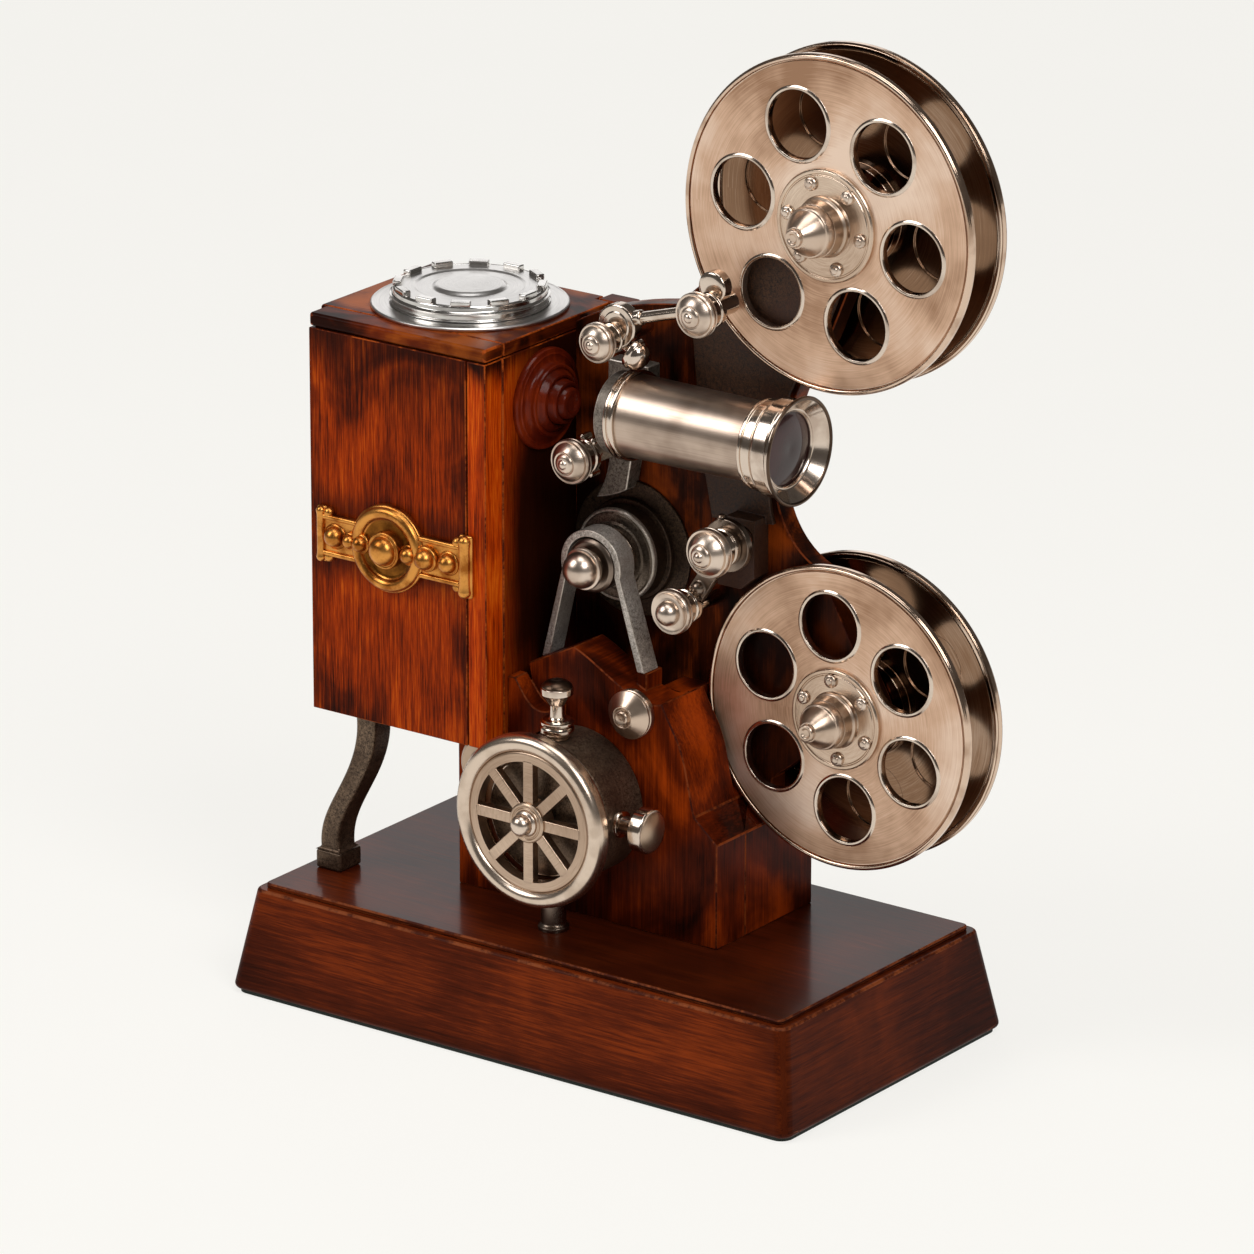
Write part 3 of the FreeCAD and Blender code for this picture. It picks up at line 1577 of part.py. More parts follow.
def guide_roller(x, z, rim, tip, nose, back):
    """A round tip in a shallow cone, a grooved rim, a smaller body and the stem behind it."""
    crown = min(tip, nose - 0.9)
    body = roller_body_share * rim
    stem = roller_stem_share * rim
    rim_end = nose + roller_rim
    body_end = rim_end + roller_body_length
    length = back - roller_rim_y + nose
    profile = [
        (0, 0), (crown, tip, 0.29 * crown), (crown + 0.12, 0.88 * tip), (crown + 0.27, 0.88 * tip),
        (crown + 0.4, tip + 0.25), (nose, rim - 0.15, -0.15), (nose + 0.2, rim), (nose + 0.6, rim),
        (nose + 0.8, rim - 0.4), (nose + 1.1, rim - 0.4), (nose + 1.3, rim), (rim_end - 0.2, rim),
        (rim_end, body), (body_end, body), (body_end + 0.2, stem), (length, stem), (length, 0),
    ]
    return turned_y(profile, x, z, roller_rim_y - nose)


def make_upper_rollers():
    """The left one has a cam plate and a cup-ended finger, the right one a small collar above it."""
    roller_a = guide_roller(
        roller_a_x, roller_a_z, roller_a_radius, roller_a_tip, roller_a_nose, plate_front)
    cam_back = cam_front + cam_depth
    cam_middle = cam_front + cam_depth / 2
    cam = rod_y(cam_radius, roller_a_x + cam_shift_x, roller_a_z + cam_rise, cam_front, cam_back)
    finger_run = V(finger_shift_x, 0, -finger_drop)
    roller_b = guide_roller(
        roller_b_x, roller_b_z, roller_b_radius, roller_b_tip, roller_b_nose, roller_b_back)
    collar = rod_y(
        collar_radius, roller_b_x + collar_shift_x, roller_b_z + collar_rise, cam_front, cam_back)
    finger = cup_finger(V(roller_a_x, cam_middle, roller_a_z), finger_run)
    return Part.makeCompound([fused([roller_a, cam, finger]), fused([roller_b, collar])])


def cup_finger(start, run):
    """A thin arm that ends in a small bowl, open towards the roller."""
    length = run.Length
    r = finger_radius
    floor = length - r / 2 + finger_cup_depth
    rim = length - r / 2
    profile = [
        (0, 0), (0, finger_arm_radius), (floor, finger_arm_radius), (floor, r - 2 * finger_wall),
        (rim, r - finger_wall), (rim, r - 0.2), (rim + 0.3, r), (rim + 1.2, r),
        (length + 0.7 * r, 0.3 * r, 0.5), (length + 0.7 * r, 0),
    ]
    return turned(profile, start, run * (1 / length), Y_DIR)


def make_side_roller():
    roller = guide_roller(
        roller_c_x, roller_c_z, roller_c_radius, roller_c_tip, roller_c_nose, bracket_front)
    studs = []
    for angle in (60, 100, -70):
        stud_x, stud_z = on_circle(roller_c_x, roller_c_z, 0.8 * roller_c_radius, angle)
        studs.append(rod_y(roller_stud_radius, stud_x, stud_z, cam_front, cam_front + cam_depth))
    return fused([roller] + studs)


def make_lower_rollers():
    roller_d_x, roller_d_z = beside_lower_reel(roller_d_radius, roller_d_gap, roller_d_angle)
    roller_e_x, roller_e_z = beside_lower_reel(roller_e_radius, reel_clearance, roller_e_angle)
    upper = guide_roller(
        roller_d_x, roller_d_z, roller_d_radius, roller_d_tip, roller_d_nose, plate_front)
    lower = guide_roller(
        roller_e_x, roller_e_z, roller_e_radius, roller_e_tip, roller_e_nose, plate_front)
    return Part.makeCompound([upper, lower])


def make_tie_rod():
    start = V(roller_a_x, tie_rod_y, roller_a_z + tie_rod_rise)
    end = V(roller_b_x, tie_rod_y, roller_b_z)
    rod = rod_between(tie_rod_radius, start, end)
    along = (end - start) * (1 / (end - start).Length)
    sleeve = rod_between(tie_rod_radius + tie_rod_sleeve, start + along * 5.0, start + along * 8.0)
    return fused([rod, sleeve]).cut(make_upper_rollers())


def make_roller_link():
    """A flat bar that joins the two lower rollers, with an eye about the upper one and two ball stops."""
    roller_d_x, roller_d_z = beside_lower_reel(roller_d_radius, roller_d_gap, roller_d_angle)
    roller_e_x, roller_e_z = beside_lower_reel(roller_e_radius, reel_clearance, roller_e_angle)
    run_x = roller_e_x - roller_d_x
    run_z = roller_e_z - roller_d_z
    length = math.hypot(run_x, run_z)
    bar = block(0, length, link_front, link_front + link_thickness, -link_width / 2, link_width / 2)
    bar.rotate(V(0, 0, 0), Y_DIR, -math.degrees(math.atan2(run_z, run_x)))
    bar.translate(V(roller_d_x, 0, roller_d_z))
    ball_x = roller_d_x + link_ball_share * run_x
    ball_z = roller_d_z + link_ball_share * run_z
    ball = Part.makeSphere(link_ball_radius, V(ball_x, link_front, ball_z))
    eye = rod_y(link_eye_radius, roller_d_x, roller_d_z, link_front, link_front + link_thickness)
    top_x, top_z = on_circle(roller_d_x, roller_d_z, link_eye_radius, link_top_angle)
    top_ball = Part.makeSphere(link_top_ball, V(top_x, link_front + link_thickness / 2, top_z))
    return fused([bar, eye, ball, top_ball]).cut(make_lower_rollers())


# Music movement

def arbor_ends():
    left = crank_x - cylinder_start - cylinder_length - arbor_left_end
    right = crank_x + worm_wheel_width / 2 + arbor_right_end
    return left, right


def comb_ends():
    right = crank_x - cylinder_start - comb_inset
    return right - cylinder_length + 2 * comb_inset, right


def make_movement_frame():
    floor_z = base_top_z
    top = floor_z + movement_plate
    left, right = arbor_ends()
    front = movement_y - frame_front_reach
    comb_back = movement_y + cylinder_radius + turning_gap + comb_length
    plate = block(left - frame_margin, right + frame_margin, front, comb_back, floor_z, top)
    ear_front = movement_y - ear_half_depth
    ear_back = movement_y + ear_half_depth
    ear_top = cylinder_z + ear_half_depth
    ears = []
    for ear_x in (left, right - movement_ear):
        ears.append(block(ear_x, ear_x + movement_ear, ear_front, ear_back, floor_z, ear_top))
    comb_left, comb_right = comb_ends()
    comb_rest = block(
        comb_left, comb_right, comb_back - comb_rest_depth, comb_back, floor_z,
        cylinder_z - comb_thickness / 2,
    )
    bore = rod_x(cylinder_pin_radius + running_fit, movement_y, cylinder_z, left, right)
    return fused([plate, comb_rest] + ears).cut(bore)


def make_music_cylinder():
    """The pinned cylinder and its worm wheel on one arbor."""
    left, right = arbor_ends()
    wheel_start = crank_x - worm_wheel_width / 2 - left
    wheel_end = wheel_start + worm_wheel_width
    end = crank_x - cylinder_start - left
    start = end - cylinder_length
    pin = cylinder_pin_radius
    profile = [
        (0, 0), (0, pin), (start, pin), (start, cylinder_radius), (end, cylinder_radius),
        (end, arbor_hub_radius), (wheel_start, arbor_hub_radius), (wheel_start, worm_wheel_radius),
        (wheel_end, worm_wheel_radius),
        (wheel_end, pin), (right - left, pin), (right - left, 0),
    ]
    return turned_x(profile, movement_y, cylinder_z, left)


def make_music_comb():
    tip = movement_y + cylinder_radius + turning_gap
    back = tip + comb_length
    left, right = comb_ends()
    low = cylinder_z - comb_thickness / 2
    comb = block(left, right, tip, back, low, low + comb_thickness)
    pitch = (right - left) / comb_teeth
    slots = []
    for number in range(1, comb_teeth):
        middle = left + number * pitch
        slot_low = low - 1
        slots.append(
            block(middle - comb_slot / 2, middle + comb_slot / 2, tip, tip + comb_tooth_length, slot_low,
                  low + comb_thickness + 1)
        )
    return comb.cut(Part.makeCompound(slots))


def reel_pieces(name, x, z, radius, hole_radius, hole_pitch, hole_angle, disc_radius, cone_radius,
                cone_length, axle_end):
    return {
        name + "_front_flange": flange(x, z, radius, hole_radius, hole_pitch, hole_angle, True),
        name + "_rear_flange": rear_flange_with_drum(x, z, radius, hole_radius, hole_pitch, hole_angle),
        name + "_axle": axle(x, z, axle_end),
        name + "_hub_disc": hub_disc(x, z, disc_radius),
        name + "_hub_cone": hub_cone(x, z, cone_radius, cone_length),
        name + "_hub_screws": hub_screw_ring(x, z, disc_radius, cone_radius, hole_angle),
    }


def all_pieces():
    pieces = {
        "base_felt": make_base_felt(),
        "base_plinth": make_base_plinth(),
        "base_top": make_base_top(),
        "base_screws": make_base_screws(),
        "pedestal_front": make_pedestal_front(),
        "pedestal_box": make_pedestal_box(),
        "pedestal_knobs": Part.makeCompound([make_cone_knob(), make_front_disc()]),
        "lamp_house_box": make_lamp_house_box(),
        "lamp_house_front": make_lamp_house_front(),
        "lid_board": make_lid_board(),
        "lid_cleats": make_lid_cleats(),
        "chimney_flange": make_chimney_flange(),
        "chimney_cap": make_chimney_cap(),
        "condenser_boss": make_condenser_boss(),
        "brass_ornament": make_brass_ornament(),
        "brass_studs": make_brass_studs(),
        "support_leg": make_support_leg(),
        "body_plate": make_body_plate(),
        "arm_face_plate": make_arm_face_plate(),
        "reel_bushes": make_reel_bushes(),
        "lens_bracket": make_lens_bracket(),
        "lens_rear_ring": make_lens_rear_ring(),
        "lens_barrel": make_lens_barrel(),
        "lens_flare": make_lens_flare(),
        "lens_glass": make_lens_glass(),
        "hand_wheel": make_hand_wheel(),
        "hand_wheel_cap": make_hand_wheel_cap(),
        "crank_shaft": make_crank_shaft(),
        "crank_pulley": make_crank_pulley(),
        "idler_stud": make_idler_stud(),
        "idler_pulley": make_idler_pulley(),
        "drum_housing": make_drum_housing(),
        "drum_post": make_drum_post(),
        "drum_knobs": Part.makeCompound([make_top_knob(), make_side_knob()]),
        "centre_drum": make_centre_drum(),
        "centre_ball": make_centre_ball(),
        "drum_strap": make_drum_strap(),
        "upper_guide_rollers": make_upper_rollers(),
        "side_guide_roller": make_side_roller(),
        "lower_guide_rollers": make_lower_rollers(),
        "tie_rod": make_tie_rod(),
        "roller_link": make_roller_link(),
        "drive_belts": make_belts(),
        "movement_frame": make_movement_frame(),
        "music_cylinder": make_music_cylinder(),
        "music_comb": make_music_comb(),
        "upper_reel_pulley": pulley(
            upper_reel_x, upper_reel_z, reel_pulley_radius, inner_belt_front, axle_radius),
        "lower_reel_pulley": pulley(
            lower_reel_x, lower_reel_z, reel_pulley_radius, outer_belt_front, axle_radius),
    }
    pieces.update(reel_pieces(
        "upper_reel", upper_reel_x, upper_reel_z, upper_reel_radius, upper_hole_radius,
        upper_hole_pitch, upper_hole_angle, upper_disc_radius, upper_cone_radius, upper_cone_length,
        inner_belt_front + pulley_width + shaft_overhang,
    ))
    pieces.update(reel_pieces(
        "lower_reel", lower_reel_x, lower_reel_z, lower_reel_radius, lower_hole_radius,
        lower_hole_pitch, lower_hole_angle, lower_disc_radius, lower_cone_radius, lower_cone_length,
        outer_belt_front + pulley_width + shaft_overhang,
    ))
    return pieces


os.makedirs("parts", exist_ok=True)
for node, shape in all_pieces().items():
    if shape.Volume < 0:
        shape.reverse()
    shape.exportStep("parts/" + node + ".step")
    print(node, len(shape.Solids), round(shape.Volume, 1), shape.isValid())
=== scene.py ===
import json
import math

import bpy
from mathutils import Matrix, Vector


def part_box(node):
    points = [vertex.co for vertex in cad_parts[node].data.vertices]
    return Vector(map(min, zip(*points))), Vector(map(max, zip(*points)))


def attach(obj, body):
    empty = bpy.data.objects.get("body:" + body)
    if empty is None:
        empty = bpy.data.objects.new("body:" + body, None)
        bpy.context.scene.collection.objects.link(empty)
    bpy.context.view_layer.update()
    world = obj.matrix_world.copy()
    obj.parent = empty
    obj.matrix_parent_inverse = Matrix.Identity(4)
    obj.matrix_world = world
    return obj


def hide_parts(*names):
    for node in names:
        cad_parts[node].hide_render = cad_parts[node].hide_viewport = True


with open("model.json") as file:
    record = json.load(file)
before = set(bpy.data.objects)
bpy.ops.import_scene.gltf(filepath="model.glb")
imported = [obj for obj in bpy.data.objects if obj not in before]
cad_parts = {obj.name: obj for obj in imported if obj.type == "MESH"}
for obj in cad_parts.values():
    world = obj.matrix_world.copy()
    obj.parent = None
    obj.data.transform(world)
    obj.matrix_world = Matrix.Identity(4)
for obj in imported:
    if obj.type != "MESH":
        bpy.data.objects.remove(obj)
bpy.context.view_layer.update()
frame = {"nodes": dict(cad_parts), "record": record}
nodes = frame["nodes"]

MM = 0.001
RIGHT = Vector((1, 0, 0))
BACK = Vector((0, 1, 0))
UP = Vector((0, 0, 1))
LENGTHWAYS, DEPTHWAYS, UPRIGHT = range(3)
WHOLE_TURN = math.tau


# Places read from the frame, in millimetres

def low(node):
    return Vector(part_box(node)[0]) / MM


def high(node):
    return Vector(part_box(node)[1]) / MM


def middle(node):
    return (low(node) + high(node)) / 2


def reach(node):
    return high(node) - low(node)


def front_of(node, centre):
    """The place where a node starts, on the front-to-back axis through a centre."""
    return Vector((centre.x, low(node).y, centre.z))


def on_circle(centre, radius, degrees):
    """A place on a circle that faces the front."""
    angle = math.radians(degrees)
    return centre + (RIGHT * math.cos(angle) + UP * math.sin(angle)) * radius


# Shader maths

def colour(code):
    """A linear colour from a six-figure display colour."""
    parts = []
    for start in (0, 2, 4):
        value = int(code[start:start + 2], 16) / 255
        parts.append(value / 12.92 if value <= 0.04045 else ((value + 0.055) / 1.055) ** 2.4)
    return (*parts, 1.0)


class Value:
    """A shader socket on which Python's arithmetic adds the Math nodes."""

    def __init__(self, recipe, socket):
        self.recipe = recipe
        self.socket = socket

    def maths(self, operation, *values):
        return self.recipe.node("ShaderNodeMath", {"operation": operation}, dict(enumerate(values)))

    def __add__(self, other):
        return self.maths("ADD", self, other)

    __radd__ = __add__

    def __sub__(self, other):
        return self.maths("SUBTRACT", self, other)

    def __rsub__(self, other):
        return self.maths("SUBTRACT", other, self)

    def __mul__(self, other):
        return self.maths("MULTIPLY", self, other)

    __rmul__ = __mul__

    def __truediv__(self, other):
        return self.maths("DIVIDE", self, other)

    def __rtruediv__(self, other):
        return self.maths("DIVIDE", other, self)

    def __pow__(self, other):
        return self.maths("POWER", self, other)

    def greater(self, other):
        return self.maths("MAXIMUM", self, other)

    def size(self):
        return self.maths("ABSOLUTE", self)

    def fade(self, start, end):
        """0 at start and 1 at end, eased."""
        settings = {"interpolation_type": "SMOOTHSTEP"}
        return self.recipe.node("ShaderNodeMapRange", settings, {0: self, 1: start, 2: end, 3: 0.0, 4: 1.0})


class Recipe:
    """One material and its node tree."""

    def __init__(self, name):
        self.material = bpy.data.materials.new(name)
        self.material.use_nodes = True
        self.tree = self.material.node_tree
        self.tree.nodes.clear()
        self.place = Value(self, self.tree.nodes.new("ShaderNodeTexCoord").outputs["Object"])

    def node(self, kind, settings=None, inputs=None, output=0):
        """Adds any node. A socket takes a Value as a link, a colour as its code, or a plain value."""
        made = self.tree.nodes.new(kind)
        for key, value in (settings or {}).items():
            if key == "stops":
                self.set_stops(made.color_ramp, value)
            else:
                setattr(made, key, value)
        for key, value in (inputs or {}).items():
            if isinstance(value, Value):
                self.tree.links.new(value.socket, made.inputs[key])
            else:
                made.inputs[key].default_value = colour(value) if isinstance(value, str) else value
        return Value(self, made.outputs[output]) if made.outputs else None

    @staticmethod
    def set_stops(ramp, stops):
        while len(ramp.elements) > 1:
            ramp.elements.remove(ramp.elements[0])
        ramp.elements[0].position = stops[0][0]
        ramp.elements[0].color = colour(stops[0][1])
        for position, code in stops[1:]:
            ramp.elements.new(position).color = colour(code)

    def axes(self):
        """The three object coordinates in millimetres."""
        return [self.node("ShaderNodeSeparateXYZ", None, {0: self.place}, axis) / MM for axis in range(3)]

    def vector(self, x, y, z):
        return self.node("ShaderNodeCombineXYZ", None, {0: x, 1: y, 2: z})

    def stretched(self, x, y, z):
        """Object coordinates with so many cycles a millimetre along each axis."""
        scale = (x / MM, y / MM, z / MM)
        return self.node("ShaderNodeVectorMath", {"operation": "MULTIPLY"}, {0: self.place, 1: scale})

    def grained(self, grain, across, along):
        """Coordinates stretched along the grain, which runs front to back on the end faces."""
        places = self.axes()
        places[DEPTHWAYS] = places[DEPTHWAYS] * (across - self.facing(grain) * (across - along))
        for axis in (LENGTHWAYS, UPRIGHT):
            places[axis] = places[axis] * (along if axis == grain else across)
        return self.vector(*places)

    def noise(self, vector, detail=4.0, rough=0.55, distortion=0.0):
        return self.node("ShaderNodeTexNoise", None, {
            "Vector": vector, "Scale": 1.0, "Detail": detail, "Roughness": rough, "Distortion": distortion,
        })

    def speckle(self, cycles, detail=4.0, rough=0.55):
        return self.noise(self.stretched(cycles, cycles, cycles), detail, rough)

    def ramp(self, factor, stops):
        return self.node("ShaderNodeValToRGB", {"stops": stops}, {0: factor})

    def mix(self, factor, first, second, blend="MIX"):
        settings = {"data_type": "RGBA", "blend_type": blend}
        return self.node("ShaderNodeMix", settings, {0: factor, 6: first, 7: second}, 2)

    def bump(self, height, depth_mm, strength=1.0):
        inputs = {"Strength": strength, "Distance": depth_mm * MM, "Height": height}
        return self.node("ShaderNodeBump", None, inputs)

    def facing(self, axis):
        """1 on faces square to an axis, seen from either side, and 0 on the faces along it."""
        normal = self.node("ShaderNodeNewGeometry", None, None, 1)
        return self.node("ShaderNodeSeparateXYZ", None, {0: normal}, axis).size().fade(0.55, 0.85)

    def facing_up(self):
        """1 on a level top and 0 on an upright face."""
        normal = self.node("ShaderNodeNewGeometry", None, None, 1)
        return self.node("ShaderNodeSeparateXYZ", None, {0: normal}, UPRIGHT).fade(0.4, 0.95)

    def finish(self, shade, rough, normal=None, sockets=None):
        """The material. The sockets are the shader's other ones, by name."""
        inputs = {"Base Color": shade, "Roughness": rough, **(sockets or {})}
        if normal is not None:
            inputs["Normal"] = normal
        shader = self.node("ShaderNodeBsdfPrincipled", None, inputs)
        self.node("ShaderNodeOutputMaterial", None, {"Surface": shader})
        return self.material


# Finishes

def wood(name, grain, stops, stain_and_shade=None, coat_top=0.35, spread=(0.24, 0.16, 0.5), relief=0.3, mottle=0.05,
         coat_side=0.015):
    """Stained wood under lacquer: fine grain, pores, mottled staining and a glossy top, darkened further by the
    mask passed in.
    """
    recipe = Recipe(name)
    streak = recipe.noise(recipe.grained(grain, 1.1, 0.035), 6.0, 0.7, 0.25)
    pore = recipe.noise(recipe.grained(grain, 3.4, 0.13), 4.0, 0.65)
    soft = [mottle, mottle, mottle]
    soft[grain] = mottle * 0.7
    cloud = recipe.noise(recipe.stretched(*soft), 4.0, 0.5, 0.8)
    tone = (streak - 0.5) * spread[0] + (pore - 0.5) * spread[1] + (cloud - 0.5) * spread[2] + 0.5
    shade = recipe.ramp(tone, stops)
    # Darkening towards one dark colour by the mask passed in; some masks are random staining, some are painted
    # shade.
    if stain_and_shade is not None:
        shade = recipe.mix(stain_and_shade(recipe, streak, cloud), shade, DARK_STAIN_AND_SHADE)
    coat = recipe.facing_up() * coat_top + coat_side
    return recipe.finish(shade, streak * 0.16 + 0.32, recipe.bump(pore * -0.6 + streak * 0.4, 0.03, relief), {
        "Specular IOR Level": 0.04, "Coat Weight": coat, "Coat Roughness": 0.14,
    })


def worn_and_highlit_edge(name, light, under):
    """Rubbed edges: the staining has gone in patches and the lacquer shines. The lighter colour is partly real
    wear and partly a painted highlight along the edges.
    """
    recipe = Recipe(name)
    patch = recipe.speckle(0.12, 4.0, 0.6)
    nick = recipe.speckle(1.1, 3.0, 0.6)
    shade = recipe.mix((patch * 0.7 + nick * 0.3).fade(0.42, 0.58), under, light)
    return recipe.finish(shade, nick * 0.2 + 0.36, recipe.bump(nick, 0.03, 0.5), {"Specular IOR Level": 0.08})


def front_edge_darkening(lowest, highest, ornament_low, ornament_high):
    """The lamp house's front: darker in from the edges, and round the ornament."""
    centre = (ornament_low + ornament_high) / 2
    half = (ornament_high - ornament_low) / 2

    def stain_and_shade(recipe, streak, cloud):
        x, _, z = recipe.axes()
        wander = (cloud - 0.5) * 44.0 + (streak - 0.5) * 22.0
        upper = (highest.z - z + wander).fade(-1.0, 24.0)
        lower = (z - lowest.z + wander).fade(-8.0, 7.0)
        inward = (x - lowest.x + wander * 0.3).fade(-3.0, 5.0)
        outward = (highest.x - x + wander * 0.3).fade(-3.0, 6.0)
        beside = ((x - centre.x).size() - half.x + 1.5).greater(0.0)
        above = ((z - centre.z).size() - half.z * 0.6).greater(0.0)
        halo = 0.7 - ((beside * beside + above * above) ** 0.5 + wander * 0.15).fade(0.0, 7.0) * 0.7
        return (1.0 - upper * lower * inward * outward * (1.0 - halo)) * 0.9

    return stain_and_shade


def side_painted_shade(lowest, highest, post):
    """The lamp house's box: orange on the corner post, then red-brown going black towards the back, a painted
    shade on the side and the other faces; darker also near the top.
    """

    def stain_and_shade(recipe, streak, cloud):
        x, y, z = recipe.axes()
        wander = (cloud - 0.5) * 30.0 + (streak - 0.5) * 14.0
        upper = (highest.z - z + wander * 0.6).fade(-1.0, 9.0)
        on_side = x.fade(highest.x - 0.6, highest.x - 0.2)
        depth = y - lowest.y - post
        foot = (z - lowest.z + wander).fade(4.0, 26.0)
        head = (z - lowest.z).fade(58.0, 86.0)
        deep = depth.fade(0.0, 0.4) * ((depth + wander * 0.3).fade(-7.0, 8.0 + head * 12.0))
        other_faces = (y - lowest.y).fade(0.2, 0.8) * (1.0 - on_side)
        # Painted shade: the side and the other faces go nearly black towards the back.
        behind = deep * (on_side * (foot * 0.3 + 0.7) + other_faces * 0.62)
        front = (1.0 - on_side) * (1.0 - (highest.x - x + wander * 0.25).fade(-2.0, 3.0)) * 0.7
        return (1.0 - upper * (1.0 - behind) * (1.0 - front)) * 0.98

    return stain_and_shade


def shaded_base(lowest, highest):
    """The base's and the lid's wood: darker at the two ends and along the lower edge."""

    def stain_and_shade(recipe, _, cloud):
        x, _, z = recipe.axes()
        wander = (cloud - 0.5) * 34.0
        left = (x - lowest.x + wander).fade(-8.0, 26.0)
        right = (highest.x - x + wander).fade(0.0, 34.0)
        lower = (z - lowest.z + wander * 0.2).fade(-4.0, 8.0)
        return (1.0 - left * right * lower) * 0.62

    return stain_and_shade


def reel_painted_shadow(circles):
    """Painted shadow: wood left nearly black inside some circles that face the front, as under the reels where
    they shade it.
    """

    def stain_and_shade(recipe, _, cloud):
        x, _, z = recipe.axes()
        amount = None
        for centre, radius in circles:
            across = x - centre.x
            up = z - centre.z
            distance = (across * across + up * up) ** 0.5 + (cloud - 0.5) * 12.0
            inside = (1.0 - distance.fade(radius - 9.0, radius + 1.0)) * 0.8
            amount = inside if amount is None else amount.greater(inside)
        return amount

    return stain_and_shade


def dark_patches(recipe, _, cloud):
    """Stain that lies thicker here and there, on the base's top."""
    broad = recipe.speckle(0.022, 2.0, 0.5)
    return (broad * 0.7 + cloud * 0.3).fade(0.36, 0.62) * 0.75


def pedestal_painted_shade(lowest, highest):
    """Painted shade on the pedestal: darker at the top and at the foot, with the warm wood left glowing between
    as a painted light.
    """

    def stain_and_shade(recipe, streak, cloud):
        _, _, z = recipe.axes()
        wander = (cloud - 0.5) * 40.0 + (streak - 0.5) * 8.0
        upper = (highest.z - z + wander).fade(-8.0, 20.0)
        lower = (z - lowest.z + wander).fade(-10.0, 10.0)
        return (1.0 - upper * lower) * 0.7

    return stain_and_shade


def brushed_round(name, centre, axis, tint, dark, light, rough=0.3, spread=(0.3, 0.5, 0.14), reflection_fan=0.0,
                  metallic=1.0):
    """Metal brushed in circles about an upright or a front-to-back axis; the fan adds a painted reflection,
    light and dark wedges as on a spun disc.
    """
    recipe = Recipe(name)
    x, y, z = recipe.axes()
    dx = x - centre.x
    if axis == DEPTHWAYS:
        dz = z - centre.z
        along = y
    else:
        dz = y - centre.y
        along = z
    radius = (dx * dx + dz * dz) ** 0.5
    turn = recipe.node("ShaderNodeMath", {"operation": "ARCTAN2"}, {0: dz, 1: dx})
    rings = recipe.noise(recipe.vector(radius * 7.0, turn * 1.1, along), 3.0, 0.6)
    arcs = recipe.noise(recipe.vector(radius * 3.6, turn * 2.4, 3.0), 4.0, 0.6, 0.3)
    smudge = recipe.speckle(0.042, 4.0, 0.5)
    tone = (arcs - 0.5) * spread[0] + (smudge - 0.5) * spread[1] + (rings - 0.5) * spread[2] + 0.5
    # Painted reflection: light and dark wedges on the inner face, standing for a spun disc's fan of highlights.
    if reflection_fan:
        outward = recipe.vector(dx / radius * 2.3, dz / radius * 2.3, radius * 0.01)
        inner_side = 1.0 - along.fade(centre.y - 0.2, centre.y + 0.2)
        tone = tone + (recipe.noise(outward, 1.0, 0.4).fade(0.38, 0.62) - 0.5) * inner_side * reflection_fan
    shade = recipe.ramp(tone, [(0.34, dark), (0.5, tint), (0.66, light)])
    relief = recipe.bump(rings, 0.006, 0.25)
    return recipe.finish(shade, rings * 0.14 + (rough - 0.07), relief, {"Metallic": metallic})


def plated(name, tint, dark, rough=0.1, haze=0.08):
    """Polished nickel plate with faint handling haze."""
    recipe = Recipe(name)
    smudge = recipe.speckle(0.14, 3.0, 0.5)
    fine = recipe.speckle(1.4, 2.0, 0.5)
    shade = recipe.mix(smudge.fade(0.44, 0.68) * 0.6, tint, dark)
    roughness = smudge * haze + fine * haze * 0.4 + rough
    return recipe.finish(shade, roughness, recipe.bump(fine, 0.003, 0.12), {"Metallic": 1.0})


def brushed_along(name, axis, tint, dark):
    """Metal brushed along an axis, as on the lens barrel."""
    recipe = Recipe(name)
    fine = [2.6, 2.6, 2.6]
    fine[axis] = 0.05
    lines = recipe.noise(recipe.stretched(*fine), 3.0, 0.6)
    smudge = recipe.speckle(0.07, 3.0, 0.5)
    shade = recipe.mix(smudge.fade(0.38, 0.66) * 0.6 + lines.fade(0.45, 0.7) * 0.2, tint, dark)
    return recipe.finish(shade, lines * 0.12 + 0.25, recipe.bump(lines, 0.008, 0.3), {"Metallic": 1.0})


def cast(name, dark, light, tinge, rough=0.5, grain=0.1, metallic=0.7, speck=0.5):
    """Dark cast iron: a pebbled surface with lighter rubbed specks and a little brown."""
    recipe = Recipe(name)
    pebble = recipe.speckle(1.3, 5.0, 0.65)
    dots = recipe.speckle(3.4, 2.0, 0.6)
    cloud = recipe.speckle(0.08, 3.0, 0.5)
    shade = recipe.ramp(pebble * (1.0 - speck) + dots * speck, [(0.38, dark), (0.6, light)])
    shade = recipe.mix(cloud.fade(0.42, 0.66) * 0.6, shade, tinge)
    relief = recipe.bump(pebble * 0.7 + dots * 0.3, grain, 0.6)
    return recipe.finish(shade, pebble * 0.3 + (rough - 0.15), relief, {"Metallic": metallic})


def antique_brass(name, dark="9a5a22", light="d9964a"):
    """Old gold brass, a little browner in patches."""
    recipe = Recipe(name)
    cloud = recipe.speckle(0.22, 3.0, 0.5)
    fine = recipe.speckle(2.0, 3.0, 0.55)
    shade = recipe.ramp(cloud * 0.8 + fine * 0.2, [(0.38, dark), (0.58, light)])
    return recipe.finish(shade, cloud * 0.1 + 0.27, recipe.bump(fine, 0.006, 0.2), {"Metallic": 1.0})


